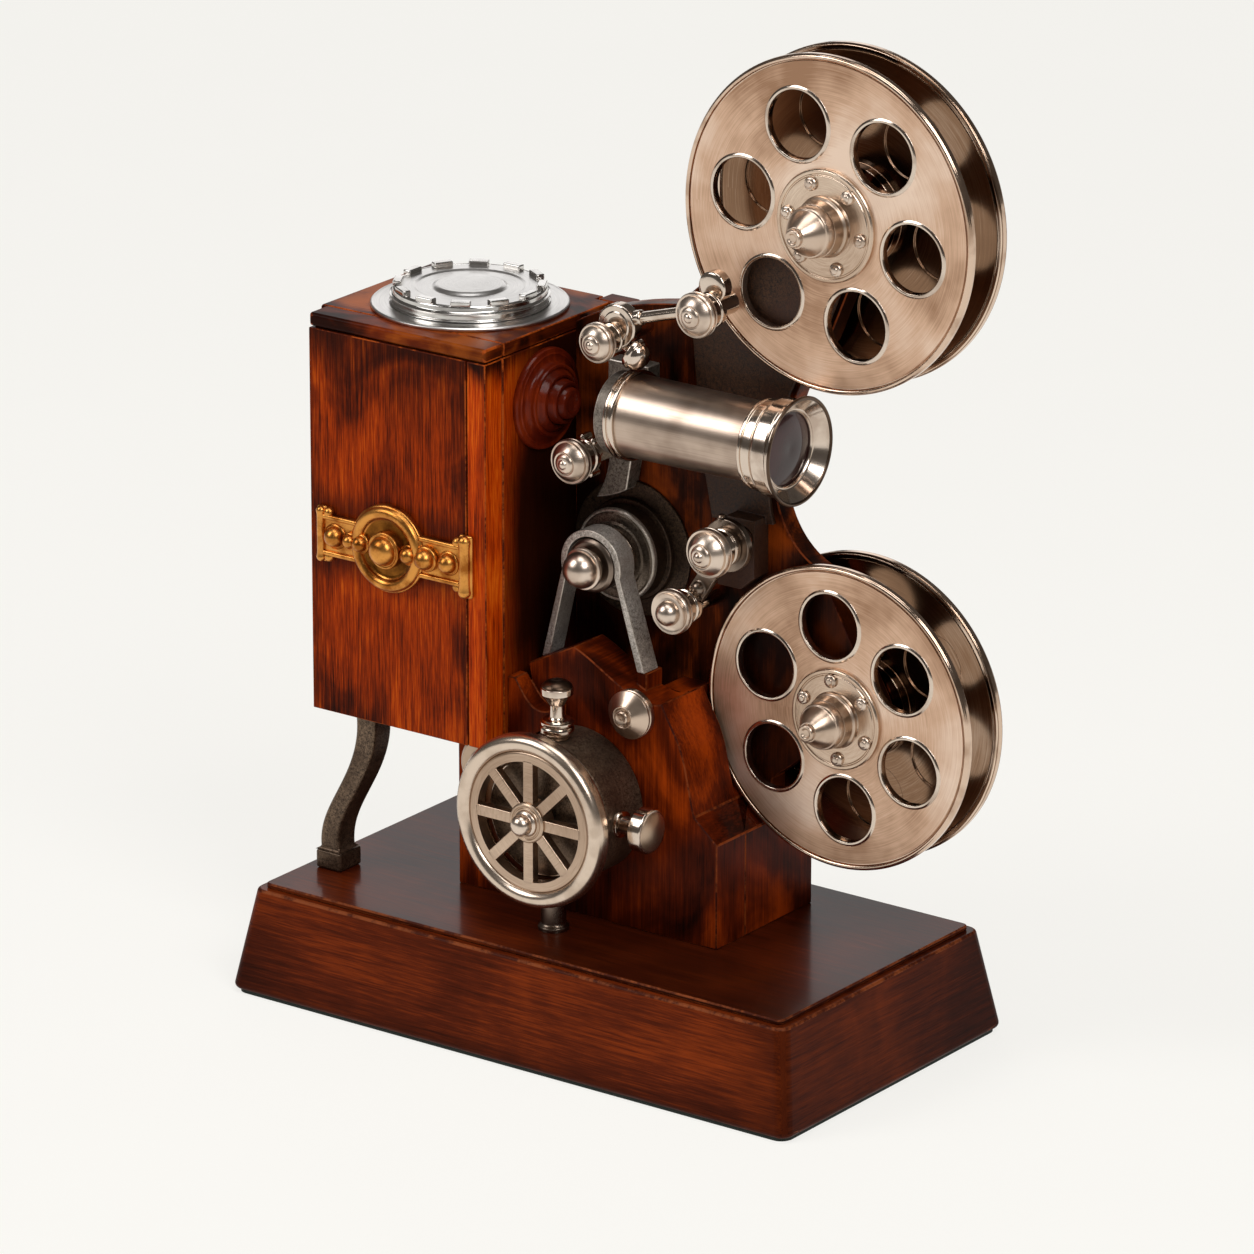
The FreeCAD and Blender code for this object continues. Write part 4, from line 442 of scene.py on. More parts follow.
def coated_glass(name):
    """The front lens: dark brown and violet."""
    recipe = Recipe(name)
    tint = recipe.speckle(0.07, 2.0, 0.5)
    shade = recipe.ramp(tint, [(0.35, "2a1614"), (0.65, "432a2a")])
    sockets = {"Specular IOR Level": 0.25, "Coat Weight": 0.35, "Coat Roughness": 0.05}
    return recipe.finish(shade, tint * 0.08 + 0.1, None, sockets)


def felted(name):
    recipe = Recipe(name)
    fibre = recipe.speckle(3.0, 5.0, 0.7)
    shade = recipe.ramp(fibre, [(0.3, "101511"), (0.7, "2b332c")])
    return recipe.finish(shade, fibre * 0.1 + 0.85, recipe.bump(fibre, 0.15, 0.8))


def rubbery(name):
    recipe = Recipe(name)
    scuff = recipe.speckle(0.8, 4.0, 0.6)
    shade = recipe.ramp(scuff, [(0.3, "0d0c0b"), (0.75, "2a2725")])
    return recipe.finish(shade, scuff * 0.3 + 0.4, recipe.bump(scuff, 0.03, 0.5))


# Modelling

SMOOTH_ANGLE = math.radians(38)
BEVEL_ANGLE = math.radians(30)
FLAT_ANGLE = math.radians(0.5)
OPEN_ANGLE = math.radians(158)
WELD = 0.001 * MM
ARC_STEPS = 10


def bare():
    """Object mode with nothing selected."""
    if bpy.context.mode != "OBJECT":
        bpy.ops.object.mode_set(mode="OBJECT")
    bpy.ops.object.select_all(action="DESELECT")


def only(piece):
    bare()
    piece.select_set(True)
    bpy.context.view_layer.objects.active = piece


def settle(piece):
    """Puts a piece's place and turn into its mesh."""
    only(piece)
    bpy.ops.object.transform_apply(location=True, rotation=True, scale=True)


def smoothed(piece):
    """Smooth shading that keeps sharp edges and leaves flat faces flat."""
    only(piece)
    bpy.ops.object.shade_smooth_by_angle(angle=SMOOTH_ANGLE)
    flattening = piece.modifiers.new("flat faces", "WEIGHTED_NORMAL")
    flattening.keep_sharp = True
    bpy.ops.object.modifier_apply(modifier="flat faces")
    return piece


def merged(piece):
    """Merges doubles, and the triangles of each flat face."""
    only(piece)
    bpy.ops.object.mode_set(mode="EDIT")
    bpy.ops.mesh.select_all(action="SELECT")
    bpy.ops.mesh.remove_doubles(threshold=WELD)
    bpy.ops.mesh.dissolve_limited(angle_limit=FLAT_ANGLE)
    bpy.ops.object.mode_set(mode="OBJECT")


def rounded(piece, bevel_mm, segments=2, edge_wear_and_highlight=False):
    """Rounds the sharp edges; the rounding takes the second finish if one is given: rubbed edges, lighter
    partly as a painted highlight.
    """
    only(piece)
    rounding = piece.modifiers.new("rounding", "BEVEL")
    rounding.width = bevel_mm * MM
    rounding.segments = segments
    rounding.limit_method = "ANGLE"
    rounding.angle_limit = BEVEL_ANGLE
    rounding.use_clamp_overlap = False
    rounding.material = 1 if edge_wear_and_highlight else -1
    bpy.ops.object.modifier_apply(modifier="rounding")
    return smoothed(piece)


def dressed(node, finish, bevel_mm=0.0, segments=2, edge_wear_and_highlight=None):
    """A merged copy of a CAD node with its finish and soft edges, which stands for that node."""
    piece = bpy.data.objects.new(node + "_finished", nodes[node].data.copy())
    bpy.context.scene.collection.objects.link(piece)
    coated(piece, finish)
    if edge_wear_and_highlight:
        piece.data.materials.append(edge_wear_and_highlight)
    merged(piece)
    if bevel_mm:
        rounded(piece, bevel_mm, segments, edge_wear_and_highlight is not None)
    else:
        smoothed(piece)
    return stands_for(piece, node)


def body_of(node):
    for body, members in frame["record"]["behaviour"]["bodies"].items():
        if node in members:
            return body
    return "root"


def slot_of(node):
    for entry in frame["record"]["subparts"]:
        if entry["node"] == node:
            return entry["material_slot"]
    return None


def stands_for(piece, node):
    """A piece rides with the node that it shows, and that node is hidden."""
    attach(piece, body_of(node))
    slot_of(node)
    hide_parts(node)
    return piece


def coated(piece, finish):
    piece.data.materials.clear()
    piece.data.materials.append(finish)


def painted(piece, finish, node):
    coated(piece, finish)
    return stands_for(piece, node)


def arc_points(start, end, bulge):
    """Points on an arc; a positive bulge is away from the axis."""
    run = end - start
    half = run.length / 2
    away = Vector((-run.y, run.x)).normalized()
    if run.x < 0:
        away = -away
    radius = (half * half + bulge * bulge) / (2 * abs(bulge))
    spread = math.asin(min(1.0, half / radius))
    points = []
    for number in range(1, ARC_STEPS + 1):
        turn = spread * (2 * number / ARC_STEPS - 1)
        lift = radius * math.cos(turn) - (radius - abs(bulge))
        along = run.normalized() * (radius * math.sin(turn))
        points.append((start + end) / 2 + along + away * math.copysign(lift, bulge))
    return points


def eased(points, ease, closed):
    """Rounds each corner of a profile."""
    result = []
    last = len(points) - 1
    for number, point in enumerate(points):
        if not closed and number in (0, last):
            result.append(point)
            continue
        before = points[number - 1] - point
        after = points[(number + 1) % len(points)] - point
        if before.angle(after) > OPEN_ANGLE:
            result.append(point)
            continue
        amount = min(ease, 0.35 * before.length, 0.35 * after.length)
        start = point + before.normalized() * amount
        end = point + after.normalized() * amount
        result += [start, (start + point * 2 + end) / 4, end]
    return result


def turned(name, profile, base, axis, sides=96, ease=0.1):
    """A piece turned on a lathe. The profile holds (distance along the axis, radius[, bulge]) in
    millimetres. It starts and ends on the axis, or closes on itself as a ring does."""
    closed = profile[0][1] > 0
    points = [Vector(profile[0][:2])]
    steps = profile[1:] + profile[:1] if closed else profile[1:]
    for step in steps:
        end = Vector(step[:2])
        points += arc_points(points[-1], end, step[2]) if len(step) > 2 else [end]
    if closed:
        points = eased(points[:-1], ease, True)
        points.append(points[0])
    else:
        points = eased(points, ease, False)
    side = axis.orthogonal().normalized()
    places = [(base + axis * point.x + side * point.y) * MM for point in points]
    bare()
    bpy.ops.mesh.primitive_plane_add(size=MM)
    piece = bpy.context.object
    piece.name = name
    bpy.ops.object.mode_set(mode="EDIT")
    bpy.ops.mesh.merge(type="CENTER")
    bpy.ops.transform.translate(value=places[0])
    for here, there in zip(places, places[1:]):
        bpy.ops.mesh.extrude_vertices_move(TRANSFORM_OT_translate={"value": there - here})
    bpy.ops.mesh.select_all(action="SELECT")
    bpy.ops.mesh.spin(steps=sides, angle=WHOLE_TURN, center=base * MM, axis=axis)
    bpy.ops.mesh.select_all(action="SELECT")
    bpy.ops.mesh.remove_doubles(threshold=WELD)
    bpy.ops.mesh.normals_make_consistent(inside=False)
    bpy.ops.object.mode_set(mode="OBJECT")
    return smoothed(piece)


def slab(name, lowest, highest, bevel_mm, segments=2):
    """A squared bar with rounded edges."""
    bare()
    bpy.ops.mesh.primitive_cube_add(size=1, location=(lowest + highest) / 2 * MM, scale=(highest - lowest) * MM)
    piece = bpy.context.object
    piece.name = name
    settle(piece)
    return rounded(piece, bevel_mm, segments)


def twin_of(piece):
    """A copy with its own mesh."""
    twin = piece.copy()
    twin.data = piece.data.copy()
    bpy.context.scene.collection.objects.link(twin)
    return twin


def copied(piece, shifts):
    """A piece and its copies, each moved by so many millimetres."""
    pieces = [piece]
    for shift in shifts:
        twin = twin_of(piece)
        twin.location = shift * MM
        settle(twin)
        pieces.append(twin)
    return pieces


def repeated_round(piece, centre, axis, count):
    """Copies of a piece about a centre, the first one included."""
    pieces = [piece]
    for number in range(1, count):
        twin = twin_of(piece)
        only(twin)
        angle = WHOLE_TURN * number / count
        bpy.ops.transform.rotate(value=angle, orient_axis=axis, center_override=centre * MM)
        settle(twin)
        pieces.append(twin)
    return pieces


def joined(name, pieces):
    bare()
    for piece in pieces:
        piece.select_set(True)
    bpy.context.view_layer.objects.active = pieces[0]
    bpy.ops.object.join()
    whole = bpy.context.object
    whole.name = name
    return whole


def pierced(piece, cutters):
    """Cuts windows with other solids, which are then thrown away."""
    merged(piece)
    for cutter in cutters:
        cut = piece.modifiers.new("cut", "BOOLEAN")
        cut.operation = "DIFFERENCE"
        cut.solver = "EXACT"
        cut.object = cutter
        only(piece)
        bpy.ops.object.modifier_apply(modifier="cut")
        bpy.data.objects.remove(cutter)
    return smoothed(piece)


def sized(steps, length, radius):
    """Steps of a profile that are given as parts of a length and of a radius. Bulges are in millimetres."""
    return [(step[0] * length, step[1] * radius, *step[2:]) for step in steps]


def moved(steps, along, radius):
    """Steps of a profile that are given from a place along the axis and from a radius."""
    return [(step[0] + along, step[1] + radius, *step[2:]) for step in steps]


def ball_bulge(radius):
    """The bulge of a quarter circle's chord."""
    return radius * (1 - math.sqrt(0.5))


# Stage

AIM = Vector((0, 0, 93.5))


def set_stage():
    bpy.ops.mesh.primitive_plane_add(size=12, location=(0, 0, 0))
    floor = bpy.context.object
    floor.name = "floor"
    recipe = Recipe("paper_floor")
    shade = recipe.mix(recipe.speckle(0.02, 2.0, 0.5), "7e7c78", "7b7975")
    floor.data.materials.append(recipe.finish(shade, 0.9, None, {
        "Specular IOR Level": 0.0, "Emission Color": "f7f6f2", "Emission Strength": 0.835,
    }))


def toward(azimuth, elevation):
    """The direction of a viewpoint: azimuth from the front towards the lens, elevation above the floor."""
    across = math.radians(azimuth)
    up = math.radians(elevation)
    return Vector((math.sin(across) * math.cos(up), -math.cos(across) * math.cos(up), math.sin(up)))


def add_softbox(name, azimuth, elevation, distance, width, height, power):
    direction = toward(azimuth, elevation)
    bpy.ops.object.light_add(type="AREA", location=AIM * MM + direction * distance)
    lamp = bpy.context.object
    lamp.name = name
    lamp.data.shape = "RECTANGLE"
    lamp.data.size = width
    lamp.data.size_y = height
    lamp.data.energy = power
    lamp.rotation_euler = direction.to_track_quat("Z", "Y").to_euler()


def set_lights():
    world = bpy.data.worlds.new("studio")
    bpy.context.scene.world = world
    world.use_nodes = True
    world.node_tree.nodes["Background"].inputs[0].default_value = colour("fff6ee")
    world.node_tree.nodes["Background"].inputs[1].default_value = 0.09
    add_softbox("key", 62, 44, distance=1.5, width=0.55, height=0.75, power=9.5)
    add_softbox("left", -38, 40, distance=1.6, width=0.7, height=0.8, power=9.5)
    add_softbox("top", 20, 86, distance=1.5, width=0.8, height=0.8, power=6.0)
    add_softbox("back", -143, 19, distance=1.5, width=1.1, height=0.6, power=2.4)
    bpy.context.scene.view_settings.view_transform = "Standard"


def set_camera():
    """The photograph's viewpoint, from a fit of its corners and circles to the sizes."""
    photo_pixels = 1254
    focal_pixels = 8289.6
    aim_pixel = (614.56, 621.73)
    distance = 1859.15
    direction = toward(36.37, 18.95)
    camera = bpy.data.cameras.new("camera")
    camera.sensor_width = 36.0
    camera.lens = focal_pixels / photo_pixels * camera.sensor_width
    camera.shift_x = (photo_pixels / 2 - aim_pixel[0]) / photo_pixels
    camera.shift_y = (aim_pixel[1] - photo_pixels / 2) / photo_pixels
    camera.clip_end = 20.0
    holder = bpy.data.objects.new("camera", camera)
    bpy.context.scene.collection.objects.link(holder)
    holder.location = (AIM + direction * distance) * MM
    holder.rotation_euler = direction.to_track_quat("Z", "Y").to_euler()
    bpy.context.scene.camera = holder


# Finishes of this object

# The dark colour that staining and painted shade take the woods towards.
DARK_STAIN_AND_SHADE = "150502"
MAHOGANY_STOPS = [(0.38, "210902"), (0.5, "561e09"), (0.62, "8c380f")]
PEDESTAL_STOPS = [(0.38, "220702"), (0.5, "5c1c04"), (0.62, "a23c08")]
PLATE_STOPS = [(0.4, "140502"), (0.5, "3a1506"), (0.62, "8a3a0c")]
LAMP_STOPS = [(0.37, "2c0a01"), (0.47, "7e2601"), (0.54, "a63802"), (0.62, "c8580c")]
LID_STOPS = [(0.4, "2e0d03"), (0.5, "7c2c09"), (0.61, "bb5c18")]
POST_STOPS = [(0.39, "641c02"), (0.5, "b63a02"), (0.61, "dc6410")]
BOSS_STOPS = [(0.38, "240702"), (0.5, "5a1706"), (0.62, "92340f")]

polished = plated("polished_nickel", "d6c6b7", "a08a79", rough=0.09)
balled = plated("polished_balls", "dac8b8", "a08a78", rough=0.25, haze=0.05)
satin = plated("satin_nickel", "bea690", "8e7560", rough=0.26, haze=0.12)
rim_metal = plated("reel_rim_nickel", "d6bca7", "97765c", rough=0.09, haze=0.05)
wheel_metal = plated("wheel_nickel", "d8c5b3", "b39e8a", rough=0.23, haze=0.03)
dark_nickel = plated("dark_nickel", "8a7a6d", "51463e", rough=0.2, haze=0.12)
turned_dark = plated("dark_turned_nickel", "5c4a3d", "33271f", rough=0.24, haze=0.1)
satin_turned = plated("turned_nickel", "cdb7a4", "a38b76", rough=0.25, haze=0.05)
steel = plated("steel", "c8c8cc", "9a9aa0", rough=0.25)
dark_iron = cast("dark_iron", "1a100a", "574332", "2c1c12", rough=0.38, grain=0.06, metallic=0.65)
strap_iron = cast("strap_iron", "756c64", "d2cac1", "9a9086", rough=0.4, grain=0.07, metallic=0.55)
core_iron = cast("core_iron", "33291f", "84776a", "4a3d31", rough=0.34, grain=0.05, metallic=0.75)
plate_iron = cast("plate_iron", "090402", "4e301b", "3a1909", rough=0.56, grain=0.14, metallic=0.2)
bracket_iron = cast("bracket_iron", "443c34", "948a7f", "5e544a", rough=0.42, grain=0.07, metallic=0.55)
drum_iron = cast("drum_iron", "32241a", "86705c", "48352a", rough=0.4, grain=0.05, metallic=0.75)
leg_iron = cast("leg_iron", "22160e", "7a6450", "3a281b", rough=0.36, grain=0.1, metallic=0.7)
brass = antique_brass("antique_brass")
dark_brass = antique_brass("dark_brass", "4e2a0a", "85521c")
glass = coated_glass("coated_glass")
felt = felted("felt")
belt = rubbery("belt")
# Edge finishes, lighter than the faces they border: partly real wear, partly a painted highlight along the
# edges.
worn_highlit_mahogany = worn_and_highlit_edge("worn_highlit_mahogany", "80401f", "42180a")
worn_highlit_pedestal = worn_and_highlit_edge("worn_highlit_pedestal", "7a3614", "360f05")
worn_highlit_lamp = worn_and_highlit_edge("worn_lamp_wood", "a64a14", "4a1604")
worn_highlit_iron = cast("worn_highlit_iron", "a3998e", "ded5ca", "b5aa9d", rough=0.35, grain=0.05, metallic=0.8)


# Base and pedestal

def make_base():
    stain_and_shade = shaded_base(low("base_plinth"), high("base_plinth"))
    mahogany = wood("mahogany", LENGTHWAYS, MAHOGANY_STOPS, stain_and_shade, coat_top=0.3, spread=(0.28, 0.22, 0.28),
                    mottle=0.03)
    dressed("base_plinth", mahogany, 0.6, 3, worn_highlit_mahogany)
    board = wood("base_top_wood", LENGTHWAYS, MAHOGANY_STOPS, dark_patches, coat_top=0.32,
                 spread=(0.24, 0.16, 0.26))
    dressed("base_top", board, 0.4, 3, worn_highlit_mahogany)
    coated(nodes["base_felt"], felt)


def make_pedestal():
    # The pedestal's wood has painted shade at the top and at the foot.
    stain_and_shade = pedestal_painted_shade(low("pedestal_front"), high("pedestal_front"))
    board = wood("pedestal_wood", UPRIGHT, PEDESTAL_STOPS, stain_and_shade, coat_top=0.2, spread=(0.22, 0.16, 0.62),
                 relief=0.25)
    dressed("pedestal_front", board, 0.3, 2, worn_highlit_pedestal)
    dressed("pedestal_box", board, 0.35, 2, worn_highlit_pedestal)


def make_pedestal_knobs():
    """The cone knob on the carved board and the disc that the hand wheel half hides."""
    tops = high("pedestal_knobs")
    bottoms = low("pedestal_knobs")
    face = tops.y
    r = 5.6
    length = face - bottoms.y
    at = Vector((tops.x - r, bottoms.y, tops.z - r))
    knob = turned("cone_knob", sized([
        (0.03, 0), (0, 0.24, 0.1), (0.06, 0.3), (0.16, 0.31), (0.16, 0.36), (0.1, 0.4), (0.1, 0.46),
        (0.17, 0.51), (0.5, 0.93), (0.54, 1), (0.62, 1), (0.64, 0.96), (0.69, 0.96), (0.71, 1),
    ], length, r) + moved([(-0.3, 0), (0, -0.3), (0, -r)], length, r), at, BACK, 96, 0.07)
    painted(knob, satin_turned, "pedestal_knobs")
    r = 7.6
    t = 2.4
    at = Vector((bottoms.x + r, face - t, bottoms.z + r))
    disc = turned("front_disc", sized([
        (0, 0), (0, 0.3), (0.15, 0.32), (0.15, 0.5), (0, 0.52), (0, 0.56), (0.25 * t, 0.6), (0.38 * t, 0.9),
        (0.67 * t, 1), (t, 1), (t, 0),
    ], 1, r), at, BACK)
    painted(disc, satin, "pedestal_knobs")


# Lamp house

def make_lamp_house():
    bottom = low("lamp_house_box")
    top = high("lamp_house_box")
    post = 6.3
    front_darkening = front_edge_darkening(low("lamp_house_front"), high("lamp_house_front"), low("brass_ornament"),
                                 high("brass_ornament"))
    figure = {"coat_top": 0.2, "spread": (0.3, 0.44, 0.27), "relief": 0.4, "mottle": 0.055}
    front = wood("lamp_front_wood", UPRIGHT, LAMP_STOPS, front_darkening, **figure)
    # The box's wood has painted shade towards the back.
    box = wood("lamp_box_wood", UPRIGHT, POST_STOPS, side_painted_shade(bottom, top, post), **figure)
    dressed("lamp_house_front", front, 0.22, 2, worn_highlit_lamp)
    dressed("lamp_house_box", box, 0.25, 2, worn_highlit_lamp)
    lid_darkening = shaded_base(low("lid_board"), high("lid_board"))
    figure = {"spread": (0.16, 0.12, 0.9), "relief": 0.25, "mottle": 0.06}
    lid = wood("lid_wood", LENGTHWAYS, LID_STOPS, lid_darkening, coat_top=0.09, **figure)
    edge = wood("lid_edge_wood", LENGTHWAYS, LID_STOPS, lid_darkening, coat_top=0.05, **figure)
    dressed("lid_board", lid, 0.3, 2, worn_highlit_lamp)
    dressed("lid_cleats", edge, 0.5, 3, worn_highlit_lamp)
    boss = wood("boss_wood", UPRIGHT, BOSS_STOPS, coat_top=0.3, spread=(0.12, 0.1, 0.7), relief=0.05,
                coat_side=0.14)
    start = Vector((high("lamp_house_box").x, middle("condenser_boss").y, middle("condenser_boss").z))
    r = reach("condenser_boss").z / 2
    length = reach("condenser_boss").x
    piece = turned("condenser_boss_finished", sized([
        (0, 0), (0, 1), (0.1, 1), (0.17, 0.98), (0.17, 0.9), (0.2, 0.88), (0.4, 0.71, -0.9), (0.46, 0.7),
        (0.46, 0.64), (0.42, 0.62), (0.56, 0.54), (0.6, 0.52), (0.6, 0.47), (0.56, 0.45), (0.78, 0.42),
        (0.84, 0.4), (0.84, 0.34), (0.8, 0.32), (0.95, 0.3), (1, 0.27), (1, 0.19), (0.93, 0.14), (0.93, 0),
    ], length, r), start, RIGHT, 112, 0.08)
    painted(piece, boss, "condenser_boss")


def make_chimney():
    flange_bottom = low("chimney_flange").z
    cap_bottom = low("chimney_cap").z
    centre = middle("chimney_flange")
    chrome = plated("chimney_nickel", "d8d5d1", "a9a5a1", rough=0.1, haze=0.06)
    spun = brushed_round("spun_nickel", centre, UPRIGHT, "d8d5d2", "b2afac", "efece9")
    r = reach("chimney_flange").x / 2
    t = reach("chimney_flange").z
    at = Vector((centre.x, centre.y, flange_bottom))
    painted(turned("chimney_flange_finished", [(0, 0), (0, r - 0.15), (0.2 * t, r), (0.7 * t, r)] + moved([
        (0, -0.35), (-0.05, -0.7), (-0.12, -0.9), (-0.12, -r),
    ], t, r), at, UP, 144, 0.06), spun, "chimney_flange")
    r = reach("chimney_cap").x / 2
    block_height = 1.0
    h = reach("chimney_cap").z - block_height
    at = Vector((centre.x, centre.y, cap_bottom))
    disc = 7.8
    painted(turned("chimney_cap_finished", [(0, 0)] + moved([
        (0, 0), (0.06 * h, -0.05), (0.12 * h, -0.45), (0.4 * h, -0.55), (0.46 * h, -0.1), (0.54 * h, -0.1),
        (0.58 * h, -0.5), (0.64 * h, -0.8), (h - 0.4, -0.9), (h, -1.3), (h, -1.8), (h - 1.4, -2.0),
        (h - 1.4, -r),
    ], 0, r), at, UP, 144, 0.1), chrome, "chimney_cap")
    painted(turned("chimney_cap_top", moved([
        (-1.2, -r), (-1.2, -1.6), (-0.06, -1.6), (-0.06, -5.6), (-0.35, -6.2),
    ], h, r) + moved([
        (-0.35, 0.9), (-0.1, 0.4), (0.2, 0), (0.35, -0.5), (0.35, -disc),
    ], h, disc), at, UP, 144, 0.1), spun, "chimney_cap")
    length = 4.6
    width = 2.0
    ring = r - 2.0
    top = cap_bottom + h
    place = Vector((centre.x + ring, centre.y, top))
    half = Vector((width / 2, length / 2, 0))
    tooth = slab("chimney_tooth", place - half - UP * 0.3, place + half + UP * block_height, 0.3, 3)
    teeth = joined("chimney_teeth", repeated_round(tooth, centre, "Z", 12))
    painted(smoothed(teeth), chrome, "chimney_cap")


# Brass ornament

def make_ornament():
    face = low("lamp_house_front").y
    lowest = low("brass_ornament")
    highest = high("brass_ornament")
    centre = Vector((lowest.x + 20.4, face, middle("brass_ornament").z))
    strap_half = 4.9
    strap_front = face - 1.1
    strap = slab("ornament_strap", Vector((lowest.x + 0.8, strap_front, centre.z - strap_half)),
                 Vector((highest.x - 1.4, face, centre.z + strap_half)), 0.3, 3)
    dish = turned("ornament_dish", [
        (-1.3, 0), (-1.3, 5.2), (-1.15, 6.2), (-1.4, 6.9), (0, 6.9), (0, 0),
    ], centre, BACK, 96, 0.1)
    ring = turned("ornament_ring", [
        (0, 6.7), (-1.3, 6.7), (-1.6, 7.1), (-1.6, 9.9, 1.15), (-0.9, 10.3, 0.15), (0, 10.3),
    ], centre, BACK, 112, 0.12)
    rails = []
    for side in (-1, 1):
        z = centre.z + side * (strap_half - 0.6)
        for x0, x1 in ((lowest.x + 1.6, centre.x - 8.8), (centre.x + 8.8, highest.x - 3.2)):
            corner = Vector((x0, strap_front - 0.7, z - 0.6))
            rails.append(slab("rail", corner, Vector((x1, face, z + 0.6)), 0.5, 4))
    ends = []
    for x, radius, half in ((lowest.x + 1.35, 1.15, 6.6), (highest.x - 2.0, 1.6, 7.4)):
        ends.append(slab("end_plate", Vector((x - radius - 0.2, strap_front, centre.z - half)),
                         Vector((x + radius + 0.2, face, centre.z + half)), 0.5, 4))
        at = Vector((x, strap_front - 0.1, centre.z - half))
        ends.append(turned("bar", [
            (0, 0), (radius, radius, ball_bulge(radius)), (2.4 * radius, 0.84 * radius, -0.06),
            (2 * half - 2.4 * radius, 0.84 * radius), (2 * half - radius, radius, -0.06),
            (2 * half, 0, ball_bulge(radius)),
        ], at, UP, 40, 0.3))
    ears = []
    for side in (-1, 1):
        for x, radius in ((lowest.x + 3.3, 1.25), (highest.x - 4.3, 1.3)):
            place = Vector((x, strap_front - 0.8, centre.z + side * (strap_half + 0.3)))
            tip = 0.75 * radius
            ears.append(turned("ear", [
                (0, 0), (tip, radius, ball_bulge(tip)), (radius + 0.6, radius), (radius + 0.6, 0),
            ], place, BACK, 32, 0.1))
    painted(joined("ornament_relief", [strap, ring] + rails + ends + ears), brass, "brass_ornament")
    painted(dish, dark_brass, "brass_ornament")
    studs = []
    for offset, radius in ((-15.0, 2.75), (-10.3, 1.8), (-7.2, 2.1), (6.5, 2.2), (11.2, 2.75), (17.1, 2.6)):
        front = strap_front - radius * 1.05
        if abs(offset) - radius < 9.0:
            front -= 0.8
        at = Vector((centre.x + offset, front, centre.z))
        back = 0.95 * radius
        studs.append(turned("stud", [(0, 0), (back, 0.88 * radius, ball_bulge(0.9 * radius))] + moved([
            (0, -0.1), (-0.2, 0), (0.1, 0.3), (1.0, 0.3), (1.0, -radius),
        ], back, radius), at, BACK, 56, 0.1))
    boss = 3.5
    studs.append(turned("ornament_ball", [(0, 0)] + moved([
        (2.4, -0.1, 1.05), (2.5, 0.1), (2.35, 0.4), (2.5, 0.75), (3.0, 0.85), (4.9, 0.85), (4.9, -boss),
    ], 0, boss), Vector((centre.x, low("brass_studs").y, centre.z)), BACK, 80, 0.1))
    painted(joined("brass_studs_finished", studs), brass, "brass_studs")


# Body plate and the iron pieces on it

def make_plates():
    reels = ("upper_reel_front_flange", "lower_reel_front_flange")
    # Painted shadow behind the two reels, on the body plate's wood.
    stain_and_shade = reel_painted_shadow([(middle(reel), reach(reel).z / 2) for reel in reels])
    plate = wood("plate_wood", UPRIGHT, PLATE_STOPS, stain_and_shade, coat_top=0.3, spread=(0.16, 0.14, 0.78),
                 relief=0.25, mottle=0.065)
    dressed("body_plate", plate, 0.3, 2, worn_highlit_pedestal)
    dressed("arm_face_plate", plate_iron, 0.22, 2)
    # The bracket's and the strap's rounded edges take the light edge iron: partly rubbed wear, partly a painted
    # highlight.
    dressed("lens_bracket", bracket_iron, 0.3, 3, worn_highlit_iron)
    dressed("drum_strap", strap_iron, 0.25, 2, worn_highlit_iron)
    dressed("support_leg", leg_iron, 0.8, 3)


